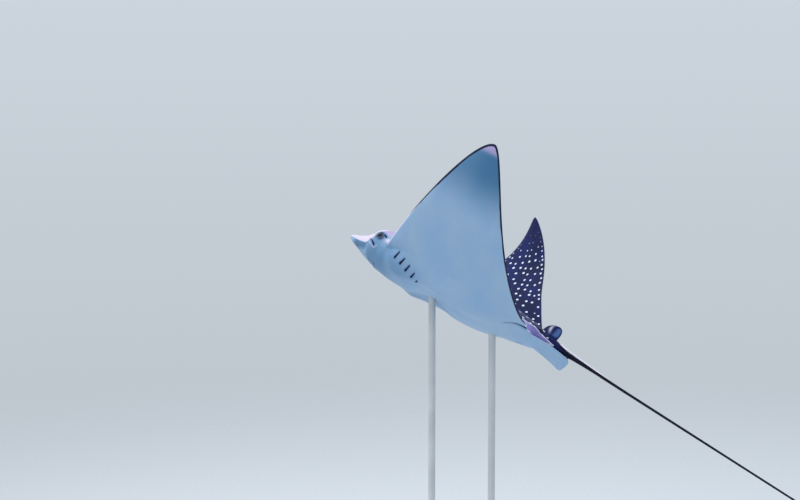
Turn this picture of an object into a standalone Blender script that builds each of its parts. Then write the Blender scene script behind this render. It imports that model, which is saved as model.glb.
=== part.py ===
"""A spotted eagle ray at life size, swimming with its wings raised, on a plain display stand.

The body is drawn flat first, in disc widths: x runs aft from near the tip of the snout, y is
the distance from the midline and z is up.  Two Bezier curves give the edge of a wing, a few profiles
give the depth of the body along its length, and every section is closed by a rounded foil.  Each
wing is then curled about a slanting axis and lifted at its root, and the whole animal is pitched
nose up and banked.  Parts meet with a thin gap.
"""
import math

import bmesh
import bpy
import numpy as np
from mathutils import Matrix

# Driving dimensions, in metres and radians
DISC_WIDTH = 1.50
NOSE_UP = 0.4314
BANK = 0.5199
BODY_PLACE = (0.010, -0.012, 1.42)
GAP = 0.0003
BLUNT_EDGE = 0.0005

# Display stand: a plate with rounded corners, and two rods on round feet
BASE_LENGTH = 0.80
BASE_BREADTH = 0.60
BASE_THICKNESS = 0.014
BASE_CORNER = 0.045
BASE_SOFT_EDGE = 0.003
ROD_RADIUS = 0.013
ROD_FOOT_RADIUS = 0.034
ROD_FOOT_HEIGHT = 0.010
ROD_STATIONS = {"front": 0.245, "rear": 0.425}

# Everything below is in disc widths.  Stations run aft along the body, from just behind the
# tip of the snout
SNOUT_TIP = -0.007
SNOUT_END = 0.058
HEAD_END = 0.126
TAIL_FRONT = 0.56
TRUNK_END = 0.610
BALANCE_STATION = 0.33
WING_ROOT = 0.105

# Flat outline of a wing: front edge from the head to the tip, rear edge from the tip to the body
FRONT_EDGE = [(0.125, 0.072), (0.205, 0.250), (0.316, 0.5), (0.367, 0.5)]
REAR_EDGE = [(0.367, 0.5), (0.397, 0.5), (0.474, 0.175), (0.543, 0.062)]

# Half-width of the head, and of the body behind the wings
HEAD_WIDTH = [(SNOUT_TIP, 0.0), (-0.004, 0.0050), (0.004, 0.0100), (0.014, 0.0160),
              (0.030, 0.0265), (0.046, 0.0375), (0.060, 0.046), (0.075, 0.060), (0.090, 0.066),
              (0.105, 0.0665), (0.125, 0.072)]
REAR_WIDTH = [(0.543, 0.062), (0.551, 0.050), (0.558, 0.038), (0.566, 0.031), (0.580, 0.026),
              (0.600, 0.0165), (0.620, 0.0122)]

# Height of the back and depth of the belly on the midline
BACK = [(SNOUT_TIP, 0.0005), (-0.002, 0.0030), (0.012, 0.0060), (0.030, 0.0090), (0.048, 0.0150),
        (0.060, 0.0300), (0.070, 0.0435), (0.085, 0.0520), (0.110, 0.0560), (0.150, 0.0580),
        (0.200, 0.062), (0.260, 0.064), (0.330, 0.060), (0.400, 0.051), (0.470, 0.040),
        (0.540, 0.029), (0.600, 0.0180), (0.620, 0.0155)]
BELLY = [(SNOUT_TIP, 0.0025), (-0.002, 0.0068), (0.006, 0.0118), (0.020, 0.0182), (0.060, 0.0365),
         (0.100, 0.0460), (0.140, 0.0525), (0.190, 0.0540), (0.215, 0.0470), (0.245, 0.0392), (0.280, 0.0372),
         (0.330, 0.0475), (0.380, 0.0505), (0.420, 0.0470), (0.460, 0.0398), (0.500, 0.0331),
         (0.550, 0.0230), (0.600, 0.0115), (0.620, 0.0080)]

# How far the snout droops
SNOUT_DROOP = [(SNOUT_TIP, 0.0060), (0.015, 0.0042), (0.035, 0.0016), (0.060, 0.0)]

# Half-width of the rounded trunk over the wings, and how squarely its section is rounded
TRUNK_WIDTH = [(0.120, 0.0708), (0.126, 0.0723), (0.134, 0.0755), (0.148, 0.0880), (0.164, 0.1040), (0.220, 0.125), (0.300, 0.130),
               (0.400, 0.120), (0.470, 0.100), (0.540, 0.070), (TAIL_FRONT, 0.045)]
BACK_ROUND = [(0.0, 0.5), (0.050, 0.5), (0.112, 0.5), (0.145, 0.8), (0.220, 1.5),
              (0.400, 1.6), (0.500, 1.3), (TAIL_FRONT, 0.7), (0.600, 0.5)]
BELLY_ROUND = [(0.0, 0.45), (0.050, 0.4), (0.112, 0.45), (0.145, 0.7), (0.220, 1.2),
               (0.400, 1.5), (0.500, 1.3), (TAIL_FRONT, 0.7), (0.600, 0.5)]
EDGE_CLOSING = 0.25

# Thickness of a wing from its root to its tip, the shape of its foil, and where it rises out of
# the trunk: the distance from the midline where it starts, and the breadth it takes
WING_THICKNESS = [(0.0, 0.052), (0.070, 0.050), (0.120, 0.043), (0.200, 0.0285), (0.300, 0.0165),
                  (0.400, 0.0090), (0.470, 0.0052), (0.500, 0.0040)]
FOIL_FULLNESS = 1.95
FOIL_REAR = 0.9
FOIL_HOLLOW = 0.15
FOIL_START, FOIL_BREADTH = 0.03, 0.05

# Each wing's lift at the root, its curl and further curl at the tip, and the slant of the curl
WING_POSE = {"left": (0.36, 0.645, -0.183, -0.045), "right": (0.513, 1.70, 0.677, 0.655)}
SIDES = {"left": -1.0, "right": 1.0}
CURL_START = 0.10
CURL_REACH = 0.4
LIFT_START, LIFT_BREADTH = 0.035, 0.10
POSE_START, POSE_BREADTH = 0.03, 0.09

# How far the right wing's rear edge trails aft, from the body out to the tip
TRAIL = [(0.0, 0.0), (0.040, 0.0), (0.085, 0.0105), (0.115, 0.0120), (0.160, 0.0060), (0.200, 0.0),
         (0.260, -0.0066), (0.360, -0.0030), (0.460, 0.0), (0.520, 0.0)]
TRAIL_SHARE = {"left": 0.0, "right": 1.0}

EYE_RADIUS = 0.0080
EYE_PLACE = (0.0895, 0.0580, 0.0172)

# Edges of a pelvic fin, its half thickness from front to rear, its hollow, and how far the hind
# end of each fin is carried up and forward
PELVIC_INNER = [(0.500, 0.030, -0.018), (0.545, 0.022, -0.028), (0.600, 0.012, -0.029),
                (0.644, 0.008, -0.043)]
PELVIC_OUTER = [(0.500, 0.046, -0.010), (0.545, 0.052, -0.009), (0.610, 0.060, -0.004),
                (0.667, 0.048, -0.019)]
PELVIC_THICKNESS = (0.0042, 0.0011)
PELVIC_HOLLOW = 0.004
PELVIC_RAISE = {"left": 0.0, "right": 0.032}
PELVIC_TUCK = {"left": 0.0, "right": 0.030}

# Dorsal fin: station of its middle, reach ahead of and behind it, foot and height, rearward lean
# and half thickness
DORSAL_STATION = 0.577
DORSAL_AHEAD, DORSAL_BEHIND = 0.028, 0.018
DORSAL_FOOT, DORSAL_HEIGHT = 0.008, 0.044
DORSAL_LEAN = 0.008
DORSAL_THICKNESS = 0.0040

# Tail: length, radius along it, and how its slope to the floor and its turn change
TAIL_LENGTH = 1.90
TAIL_RADIUS = [(0.0, 0.0122), (0.02, 0.0080), (0.05, 0.0056), (0.12, 0.0035), (0.40, 0.0027),
               (0.90, 0.0019), (1.50, 0.0011), (TAIL_LENGTH, 0.0006)]
TAIL_ROOT_RISE = 0.004
TAIL_SLOPE = [(0.0, NOSE_UP), (0.012, 0.465), (0.12, 0.520), (0.70, 0.520), (1.10, 0.42),
              (1.50, 0.24), (TAIL_LENGTH, 0.06)]
TAIL_TURN = [(0.0, 0.0), (0.25, 0.145), (0.80, 0.145), (1.35, 0.02), (TAIL_LENGTH, -0.12)]
TAIL_CUTS = (0.0, 0.36, 0.86, 1.36, TAIL_LENGTH)
TAIL_CROWD = 1.7

# Stings on the tail: start and length along it, width, and height of the underside over the tail
# at the start and at the point
STINGS = {"lower": (0.020, 0.066, 0.0076, 0.0005, 0.0005),
          "upper": (0.004, 0.142, 0.0070, 0.0028, 0.0010)}
STING_THICKNESS = 0.0020
STING_ROLL = 0.75
STING_TAPER = 0.75

# Fineness: samples of a curve, rings along a part and points across it
FINE = 401
SNOUT_RINGS, HEAD_RINGS, TRUNK_POINTS, WING_POINTS = 8, 10, 10, 12
PELVIC_RINGS, PELVIC_POINTS = 13, 8
DORSAL_RINGS, DORSAL_POINTS = 9, 8
TAIL_RINGS, TAIL_POINTS = 12, 10
STING_RINGS, STING_POINTS = 9, 8
CORNER_POINTS, ROD_POINTS = 7, 24
EYE_AROUND, EYE_LEVELS = 12, 8
SHARP_ANGLE = math.radians(40)

COLOURS = {"hide": ((0.055, 0.065, 0.10), 0.42), "eye": ((0.01, 0.01, 0.012), 0.08),
           "sting": ((0.62, 0.52, 0.46), 0.5), "stand": ((0.60, 0.61, 0.62), 0.45)}


def clear_scene():
    for thing in list(bpy.data.objects):
        bpy.data.objects.remove(thing, do_unlink=True)


def ease(t):
    """Smooth step: 0 below 0, 1 above 1, level at both ends."""
    t = np.clip(t, 0.0, 1.0)
    return t * t * (3.0 - 2.0 * t)


def bezier(points, count):
    """Points of a cubic Bezier curve, spaced evenly in its parameter."""
    t = np.linspace(0.0, 1.0, count)[:, None]
    p = np.asarray(points, float)
    return ((1 - t) ** 3 * p[0] + 3 * t * (1 - t) ** 2 * p[1] + 3 * t * t * (1 - t) * p[2]
            + t ** 3 * p[3])


def profile(x, knots):
    """A smooth curve through (station, value) knots that never overshoots: Hermite cubics whose
    slope at a knot is the harmonic mean of the slopes beside it."""
    stations, values = np.asarray(knots, float).T
    step = np.diff(stations)
    rise = np.diff(values) / step
    before, after = rise[:-1], rise[1:]
    safe = np.where(before * after > 0, before + after, 1.0)
    slope = np.zeros_like(values)
    slope[1:-1] = np.where(before * after > 0, 2.0 * before * after / safe, 0.0)
    slope[0], slope[-1] = rise[0], rise[-1]
    x = np.clip(x, stations[0], stations[-1])
    i = np.clip(np.searchsorted(stations, x) - 1, 0, len(step) - 1)
    t = (x - stations[i]) / step[i]
    return ((2 * t ** 3 - 3 * t * t + 1) * values[i] + (t ** 3 - 2 * t * t + t) * step[i] * slope[i]
            + (3 * t * t - 2 * t ** 3) * values[i + 1] + (t ** 3 - t * t) * step[i] * slope[i + 1])


FRONT_CURVE = bezier(FRONT_EDGE, FINE)
REAR_CURVE = bezier(REAR_EDGE, FINE)
TIP_STATION = FRONT_EDGE[-1][0]


def outline(x):
    """Half-width of the flat animal at station x: head, front edge, rear edge, body."""
    half = profile(x, HEAD_WIDTH)
    half = np.where(x > FRONT_EDGE[0][0], np.interp(x, *FRONT_CURVE.T), half)
    half = np.where(x > TIP_STATION, np.interp(x, *REAR_CURVE.T), half)
    return np.where(x > REAR_EDGE[-1][0], profile(x, REAR_WIDTH), half)


def front_station(y):
    return np.interp(y, FRONT_CURVE[:, 1], FRONT_CURVE[:, 0])


def rear_station(y):
    return np.interp(-y, -REAR_CURVE[:, 1], REAR_CURVE[:, 0])


def wing_half_thickness(x, y):
    """A foil: blunt front, greatest at a third of the chord, thin at the rear edge; beside the
    body it swells in gently behind the head."""
    front = front_station(np.maximum(y, FRONT_EDGE[0][1]))
    chord = rear_station(np.maximum(y, REAR_EDGE[-1][1])) - front
    q = np.clip((x - front) / np.maximum(chord, 1e-6), 0.0, 1.0)
    foil = FOIL_FULLNESS * np.sqrt(q) * (1.0 - q) ** FOIL_REAR * (1.0 - FOIL_HOLLOW * q)
    rise = ease((y - FOIL_START) / FOIL_BREADTH)
    beside = ease((y - 0.068) / 0.040)
    rise = rise * (beside + (1.0 - beside) * ease((x - FRONT_EDGE[0][0]) / 0.070))
    return 0.5 * profile(y, WING_THICKNESS) * foil * rise


def heights(x, y):
    """Top and underside of the flat animal: the rounded trunk added to the foil of the wing."""
    edge = outline(x)
    width = profile(x, TRUNK_WIDTH)
    width = np.where(x < 0.2, np.minimum(edge, width), width)
    width = np.where(x > TAIL_FRONT, edge, width)
    crown = np.clip(1.0 - (y / np.maximum(width, 1e-6)) ** 2, 0.0, 1.0)
    inside = np.sqrt(np.clip(1.0 - (y / np.maximum(edge, 1e-6)) ** 2, 0.0, 1.0))
    closing = np.clip(inside / EDGE_CLOSING, 0.0, 1.0)
    foil = wing_half_thickness(x, y)
    blunt = BLUNT_EDGE / DISC_WIDTH
    top = profile(x, BACK) * crown ** profile(x, BACK_ROUND) * closing + foil + blunt
    under = profile(x, BELLY) * crown ** profile(x, BELLY_ROUND) * closing + foil + blunt
    droop = profile(x, SNOUT_DROOP)
    return top - droop, -under - droop


WING_FRONT = float(front_station(WING_ROOT + 0.003))
WING_REAR = float(rear_station(WING_ROOT + 0.003))

SPAN = np.linspace(0.0, 0.52, 105)


def arc(angle):
    """Outward and upward travel along a line whose slope is angle, at each step of SPAN."""
    middle = 0.5 * (angle[1:] + angle[:-1])
    step = SPAN[1]
    out = np.concatenate([[0.0], np.cumsum(np.cos(middle)) * step])
    up = np.concatenate([[0.0], np.cumsum(np.sin(middle)) * step])
    return out, up


def pose_wing(x, y, z, side):
    """Curl the wing about a slanting axis, lift it at its root, and leave the body as it is."""
    lift, curl, tip_curl, slant = WING_POSE[side]
    cos, sin = math.cos(slant), math.sin(slant)
    across = (y - CURL_START) * cos + (x - BALANCE_STATION) * sin
    along = (x - BALANCE_STATION) * cos - (y - CURL_START) * sin
    reach = SPAN / CURL_REACH
    angle = curl * reach + tip_curl * reach ** 3
    out, up = arc(angle)
    past = np.maximum(across, 0.0)
    tilt = np.interp(past, SPAN, angle)
    flat = np.minimum(across, 0.0) + np.interp(past, SPAN, out) - z * np.sin(tilt)
    raised = np.interp(past, SPAN, up) + z * np.cos(tilt)
    y_curled = CURL_START + flat * cos - along * sin
    x_curled = BALANCE_STATION + flat * sin + along * cos
    x_curled = x_curled + TRAIL_SHARE[side] * profile(y, TRAIL) * ease((x - 0.33) / 0.12)
    root = lift * ease((SPAN - LIFT_START) / LIFT_BREADTH)
    out, up = arc(root)
    held = np.clip(y_curled, 0.0, SPAN[-1])
    tilt = np.interp(held, SPAN, root)
    spare = y_curled - held
    y_new = np.interp(held, SPAN, out) + spare * np.cos(tilt) - raised * np.sin(tilt)
    z_new = np.interp(held, SPAN, up) + spare * np.sin(tilt) + raised * np.cos(tilt)
    share = ease((y - POSE_START) / POSE_BREADTH)
    return x + share * (x_curled - x), y + share * (y_new - y), z + share * (z_new - z)


ATTITUDE = Matrix.Rotation(NOSE_UP, 3, "Y") @ Matrix.Rotation(-BANK, 3, "X")


def place(points):
    """Body points, in disc widths with y to the right, to the world, in metres."""
    turn = np.array(ATTITUDE)
    local = (points - np.array([BALANCE_STATION, 0.0, 0.0])) * DISC_WIDTH
    return local @ turn.T + np.array(BODY_PLACE)


def posed(x, y, z, side):
    """Points of one side of the flat animal, posed and placed in the world."""
    x, y, z = np.broadcast_arrays(x, y, z)
    px, py, pz = pose_wing(x, y, z, side)
    return place(np.stack([px, SIDES[side] * py, pz], axis=-1))


def spread(start, end, count, crowd=0.0):
    """Stations from start to end, drawn towards both ends by crowd (0 even, 1 cosine)."""
    t = np.linspace(0.0, 1.0, count)
    t = (1.0 - crowd) * t + crowd * 0.5 * (1.0 - np.cos(math.pi * t))
    return start + (end - start) * t


def mesh_from_rings(name, rings):
    """A closed mesh from closed rings of points: quads from ring to ring, and a strip of quads
    across the first and last ring, joining each point to the one opposite."""
    count, around = rings.shape[:2]
    i, j = np.meshgrid(np.arange(count - 1), np.arange(around), indexing="ij")
    k = (j + 1) % around
    quads = [np.stack([i * around + j, i * around + k, (i + 1) * around + k,
                       (i + 1) * around + j], -1).reshape(-1, 4)]
    a = np.arange(around // 2 - 1)
    strip = np.stack([a, around - 1 - a, around - 2 - a, a + 1], -1)
    quads += [strip, strip[:, ::-1] + (count - 1) * around]
    mesh = bpy.data.meshes.new(name)
    mesh.from_pydata(rings.reshape(-1, 3).tolist(), [], np.concatenate(quads).tolist())
    work = bmesh.new()
    work.from_mesh(mesh)
    bmesh.ops.remove_doubles(work, verts=work.verts, dist=1e-6)
    bmesh.ops.dissolve_degenerate(work, edges=work.edges, dist=1e-6)
    bmesh.ops.triangulate(work, faces=work.faces)
    bmesh.ops.recalc_face_normals(work, faces=work.faces)
    work.to_mesh(mesh)
    work.free()
    return mesh


def material(slot):
    found = bpy.data.materials.get(slot)
    if found:
        return found
    colour, roughness = COLOURS[slot]
    made = bpy.data.materials.new(slot)
    made.use_nodes = True
    shader = made.node_tree.nodes["Principled BSDF"]
    shader.inputs["Base Color"].default_value = (*colour, 1.0)
    shader.inputs["Roughness"].default_value = roughness
    shader.inputs["Metallic"].default_value = 0.0
    made.diffuse_color = (*colour, 1.0)
    return made


def add_object(name, mesh, slot):
    made = bpy.data.objects.new(name, mesh)
    bpy.context.scene.collection.objects.link(made)
    mesh.materials.append(material(slot))
    mesh.shade_smooth()
    mesh.set_sharp_from_angle(angle=SHARP_ANGLE)
    return made


def cross_sections(stations, half_count, limit, grow=0.0):
    """Rings across the body: over the top from left to right, then back under the belly."""
    rings = []
    for x in stations:
        half = min(float(outline(np.array(x))), limit)
        y = half * np.sin(np.linspace(0.0, math.pi / 2, half_count))
        top, under = heights(np.full_like(y, x), y)
        outward = y + grow * y / half
        upper = {side: posed(x, outward, top + grow, side) for side in SIDES}
        lower = {side: posed(x, outward, under - grow, side) for side in SIDES}
        rings.append(np.concatenate([upper["left"][::-1], upper["right"][1:],
                                     lower["right"][::-1], lower["left"][1:]]))
    return np.array(rings)


def cut(target, cutter):
    """Take the cutter's volume away from the target's mesh."""
    tool = target.modifiers.new("cut", "BOOLEAN")
    tool.operation = "DIFFERENCE"
    tool.solver = "EXACT"
    tool.object = cutter
    depsgraph = bpy.context.evaluated_depsgraph_get()
    done = bpy.data.meshes.new_from_object(target.evaluated_get(depsgraph))
    target.modifiers.clear()
    target.data = done
    done.set_sharp_from_angle(angle=SHARP_ANGLE)


def hidden_cutter(name, mesh):
    made = bpy.data.objects.new(name, mesh)
    bpy.context.scene.collection.objects.link(made)
    made.hide_render = True
    made.display_type = "WIRE"
    return made


def trunk_stations(start, end):
    """Stations of the trunk's rings; the wings share those between their root's two ends."""
    marks = [(start, 1), (WING_FRONT, 11), (TIP_STATION - 0.025, 5), (TIP_STATION + 0.025, 6),
             (WING_REAR, 7)]
    ends = [mark for mark, _ in marks[1:]] + [end]
    runs = [np.linspace(a, b, count, endpoint=False) for (a, count), b in zip(marks, ends)]
    return np.append(np.concatenate(runs), end)


def body_parts():
    """Snout, head and trunk, cut across at their stations."""
    half_gap = 0.5 * GAP / DISC_WIDTH
    near_limit = WING_ROOT - half_gap
    reach = SNOUT_END - half_gap - SNOUT_TIP
    snout_rings = SNOUT_TIP + reach * np.linspace(0.1, 1.0, SNOUT_RINGS) ** 2
    snout = cross_sections(snout_rings, SNOUT_RINGS, 1.0)
    add_object("snout", mesh_from_rings("snout", snout), "hide")
    head_rings = spread(SNOUT_END + half_gap, HEAD_END - half_gap, HEAD_RINGS)
    head_sections = cross_sections(head_rings, HEAD_RINGS, 1.0)
    head = add_object("head", mesh_from_rings("head", head_sections), "hide")
    trunk_rings = trunk_stations(HEAD_END + half_gap, TRUNK_END - half_gap)
    trunk = cross_sections(trunk_rings, TRUNK_POINTS, near_limit)
    add_object("trunk", mesh_from_rings("trunk", trunk), "hide")
    return head


def grown_body():
    """The trunk and tail root, larger all round by the gap, to cut what lies against them."""
    grow = GAP / DISC_WIDTH
    stations = trunk_stations(HEAD_END, TRUNK_END)
    rings = cross_sections(stations, TRUNK_POINTS, WING_ROOT, grow)
    return hidden_cutter("cutter_trunk", mesh_from_rings("cutter_trunk", rings))


def wing(side):
    """Rings at the trunk's own stations, each from the root out to the edge and back."""
    root = WING_ROOT + 0.5 * GAP / DISC_WIDTH
    stations = trunk_stations(HEAD_END, TRUNK_END)
    shared = stations[(stations > WING_FRONT - 1e-6) & (stations < WING_REAR + 1e-6)]
    rings = []
    for x in shared:
        y = spread(root, float(outline(x)), WING_POINTS, 0.6)
        top, under = heights(np.full_like(y, x), y)
        rings.append(np.concatenate([posed(x, y, top, side), posed(x, y, under, side)[::-1]]))
    name = "wing_" + side
    add_object(name, mesh_from_rings(name, np.array(rings)), "hide")


def eye(side, head):
    """A ball set in a socket of the head."""
    x, y, z = EYE_PLACE
    centre = posed(np.array(x), np.array(y), np.array(z), side)
    for name, radius in (("cutter_socket_" + side, EYE_RADIUS * DISC_WIDTH + GAP),
                         ("eye_" + side, EYE_RADIUS * DISC_WIDTH)):
        ball = bmesh.new()
        bmesh.ops.create_uvsphere(ball, u_segments=EYE_AROUND, v_segments=EYE_LEVELS,
                                  radius=radius, matrix=Matrix.Translation(centre))
        mesh = bpy.data.meshes.new(name)
        ball.to_mesh(mesh)
        ball.free()
        if name.startswith("cutter"):
            cut(head, hidden_cutter(name, mesh))
        else:
            add_object(name, mesh, "eye")


def pelvic_fin(side, body):
    """A flat lobe along each side of the tail root, between an inner and an outer edge."""
    along = np.linspace(0.0, 1.0, PELVIC_RINGS)
    inner, outer = bezier(PELVIC_INNER, PELVIC_RINGS), bezier(PELVIC_OUTER, PELVIC_RINGS)
    across = np.linspace(0.0, 1.0, PELVIC_POINTS)
    rounding = np.sqrt(np.clip(1.0 - (2.0 * across - 1.0) ** 2, 0.06, 1.0))[:, None]
    rings = []
    for t, a, b, half in zip(along, inner, outer, np.linspace(*PELVIC_THICKNESS, PELVIC_RINGS)):
        line = a + (b - a) * across[:, None]
        line[:, 2] += PELVIC_RAISE[side] * t * (0.6 + 0.4 * across)
        line[:, 2] -= PELVIC_HOLLOW * np.sin(math.pi * across)
        line[:, 0] -= PELVIC_TUCK[side] * t
        normal = np.array([0.0, a[2] - b[2], b[1] - a[1]])
        normal /= np.linalg.norm(normal)
        depth = half * rounding
        ring = np.concatenate([line + normal * depth, (line - normal * depth)[::-1]])
        ring[:, 1] *= SIDES[side]
        rings.append(place(ring))
    name = "pelvic_fin_" + side
    cut(add_object(name, mesh_from_rings(name, np.array(rings)), "hide"), body)


def dorsal_fin(body):
    """A small rounded fin at the root of the tail, drawn level by level from foot to top."""
    around = np.sqrt(np.sin(np.linspace(0.12, 3.0, DORSAL_POINTS)))
    rings = []
    for rise in np.linspace(0.0, 1.0, DORSAL_RINGS):
        shrink = math.sqrt(max(1.0 - rise ** 4.0, 0.03))
        middle = DORSAL_STATION + DORSAL_LEAN * rise
        x = spread(middle - DORSAL_AHEAD * shrink, middle + DORSAL_BEHIND * shrink,
                   DORSAL_POINTS, 0.7)
        half = DORSAL_THICKNESS * (1.0 - 0.65 * rise) * around
        level = np.full_like(x, DORSAL_FOOT + DORSAL_HEIGHT * rise)
        rings.append(np.concatenate([place(np.stack([x, half, level], -1)),
                                     place(np.stack([x, -half, level], -1))[::-1]]))
    fin = add_object("dorsal_fin", mesh_from_rings("dorsal_fin", np.array(rings)), "hide")
    cut(fin, body)


def tail_path():
    """Centre line of the tail in the world, with its slope and turn at each point."""
    s = np.linspace(0.0, TAIL_LENGTH, FINE)
    slope, turn = profile(s, TAIL_SLOPE), profile(s, TAIL_TURN)
    ahead = np.stack([np.cos(slope) * np.cos(turn), np.cos(slope) * np.sin(turn),
                      -np.sin(slope)], -1)
    step = 0.5 * (ahead[1:] + ahead[:-1]) * (s[1] - s[0]) * DISC_WIDTH
    start = place(np.array([[TRUNK_END, 0.0, TAIL_ROOT_RISE]]))[0]
    return s, start + np.concatenate([np.zeros((1, 3)), np.cumsum(step, axis=0)]), ahead


def tail_ring(s, around, radius, lift=0.0, roll=0.0):
    """One round section of the tail, or of a thing lying on it, at s disc widths from its root;
    roll carries it round the tail towards the left."""
    stations, centres, ahead = tail_path()
    centre = np.array([np.interp(s, stations, centres[:, k]) for k in range(3)])
    forward = np.array([np.interp(s, stations, ahead[:, k]) for k in range(3)])
    across = np.array(ATTITUDE)[:, 1]
    across = across - forward * (across @ forward)
    across /= np.linalg.norm(across)
    up = np.cross(forward, across)
    across, up = (across * math.cos(roll) + up * math.sin(roll),
                  up * math.cos(roll) - across * math.sin(roll))
    angle = np.linspace(0.0, 2.0 * math.pi, around, endpoint=False) + math.pi / around
    wide, high = radius
    round_off = np.cos(angle)[:, None] * across * wide + np.sin(angle)[:, None] * up * high
    return centre + up * lift * DISC_WIDTH + round_off * DISC_WIDTH


def tail():
    """The tail in a few lengths, each a tapering round whip."""
    half_gap = 0.5 * GAP / DISC_WIDTH
    for number, (start, end) in enumerate(zip(TAIL_CUTS[:-1], TAIL_CUTS[1:]), start=1):
        reach = end - start - 2.0 * half_gap
        cuts = start + half_gap + reach * np.linspace(0.0, 1.0, TAIL_RINGS) ** TAIL_CROWD
        radii = profile(cuts, TAIL_RADIUS)
        rings = [tail_ring(s, TAIL_POINTS, (r, r)) for s, r in zip(cuts, radii)]
        name = "tail_" + str(number)
        add_object(name, mesh_from_rings(name, np.array(rings)), "hide")


def sting(which):
    """A flat tapering spine lying along the top of the tail."""
    start, length, width, base_raise, point_raise = STINGS[which]
    rings = []
    for t in np.linspace(0.0, 1.0, STING_RINGS):
        s = start + length * t
        taper = 1.0 - STING_TAPER * t ** 2
        high = 0.5 * STING_THICKNESS * taper
        raised = base_raise + (point_raise - base_raise) * t
        lift = float(profile(s, TAIL_RADIUS)) + raised + 0.5 * STING_THICKNESS
        rings.append(tail_ring(s, STING_POINTS, (width * 0.5 * taper, high), lift, STING_ROLL))
    name = "sting_" + which
    add_object(name, mesh_from_rings(name, np.array(rings)), "sting")


def stand_base():
    """A flat plate with rounded upright corners and a softened top edge."""
    rim = []
    for turn, (sx, sy) in enumerate(((1, 1), (-1, 1), (-1, -1), (1, -1))):
        for a in np.linspace(0.0, math.pi / 2, CORNER_POINTS) + turn * math.pi / 2:
            rim.append((sx * (BASE_LENGTH / 2 - BASE_CORNER) + BASE_CORNER * math.cos(a),
                        sy * (BASE_BREADTH / 2 - BASE_CORNER) + BASE_CORNER * math.sin(a)))
    rim = np.array(rim)
    soft = BASE_SOFT_EDGE
    levels = [(0.0, 0.0), (BASE_THICKNESS - soft, 0.0), (BASE_THICKNESS - 0.3 * soft, 0.3 * soft),
              (BASE_THICKNESS, soft)]
    work = bmesh.new()
    loops = []
    for z, inset in levels:
        scale = 1.0 - 2.0 * inset / np.array([BASE_LENGTH, BASE_BREADTH])
        loops.append([work.verts.new((x, y, z)) for x, y in rim * scale])
    for low, high in zip(loops[:-1], loops[1:]):
        for k in range(len(rim)):
            n = (k + 1) % len(rim)
            work.faces.new((low[k], low[n], high[n], high[k]))
    work.faces.new(loops[0][::-1])
    work.faces.new(loops[-1])
    mesh = bpy.data.meshes.new("stand_base")
    work.to_mesh(mesh)
    work.free()
    add_object("stand_base", mesh, "stand")


def stand_rod(which, body):
    """An upright rod on a round foot; its top is cut to the belly that rests on it."""
    x, y, z = place(np.array([[ROD_STATIONS[which], 0.0, 0.0]]))[0]
    foot = BASE_THICKNESS + GAP
    levels = [(foot, ROD_FOOT_RADIUS), (foot + 0.7 * ROD_FOOT_HEIGHT, ROD_FOOT_RADIUS),
              (foot + ROD_FOOT_HEIGHT, ROD_FOOT_RADIUS - 0.3 * ROD_FOOT_HEIGHT),
              (foot + ROD_FOOT_HEIGHT, ROD_RADIUS), (z, ROD_RADIUS)]
    angle = np.linspace(0.0, 2.0 * math.pi, ROD_POINTS, endpoint=False)
    rings = [np.stack([x + r * np.cos(angle), y + r * np.sin(angle), np.full_like(angle, h)], -1)
             for h, r in levels]
    name = "stand_rod_" + which
    cut(add_object(name, mesh_from_rings(name, np.array(rings)), "stand"), body)


def main():
    clear_scene()
    head = body_parts()
    body = grown_body()
    for side in SIDES:
        wing(side)
        eye(side, head)
        pelvic_fin(side, body)
    dorsal_fin(body)
    tail()
    for which in STINGS:
        sting(which)
    stand_base()
    for which in ROD_STATIONS:
        stand_rod(which, body)


main()
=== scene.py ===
"""A life-size spotted eagle ray with its wings raised, on a plain display stand.

One closed skin covers head, trunk, wings, fins and tail.  It is drawn flat, in disc widths, with
x aft from near the tip of the snout, y to the right and z up: rings across the body run over the
back and under the belly.  Grooves and ridges are pressed into the flat form along its normals,
the wings are curled and lifted, and the animal is pitched, banked and put in its place.
"""
import math

import bpy
import numpy as np
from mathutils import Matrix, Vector


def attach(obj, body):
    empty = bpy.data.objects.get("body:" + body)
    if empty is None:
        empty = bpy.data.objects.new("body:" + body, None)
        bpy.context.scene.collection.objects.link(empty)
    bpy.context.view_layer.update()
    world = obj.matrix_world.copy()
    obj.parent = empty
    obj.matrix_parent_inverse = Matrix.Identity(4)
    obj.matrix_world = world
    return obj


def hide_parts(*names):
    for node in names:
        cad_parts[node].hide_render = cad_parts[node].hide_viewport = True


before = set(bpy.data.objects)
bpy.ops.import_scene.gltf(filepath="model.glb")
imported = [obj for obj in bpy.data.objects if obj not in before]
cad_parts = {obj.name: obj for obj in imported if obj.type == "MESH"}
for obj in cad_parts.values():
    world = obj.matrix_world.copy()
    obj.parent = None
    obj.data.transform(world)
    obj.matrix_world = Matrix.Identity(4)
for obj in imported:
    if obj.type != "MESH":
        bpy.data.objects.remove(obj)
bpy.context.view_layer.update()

# Size, attitude and place of the animal, as in the frame
DISC_WIDTH = 1.50
NOSE_UP = 0.4314
BANK = 0.5199
BODY_PLACE = np.array([0.010, -0.012, 1.42])

# Stations along the body, in disc widths
SNOUT_TIP = -0.007
NECK_END = 0.2
TAIL_FRONT = 0.56
ROUND_FROM = 0.572
TRUNK_END = 0.610
BALANCE_STATION = 0.33
EDGE = 0.0004
CLOSING_SHARE = 0.25

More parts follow.
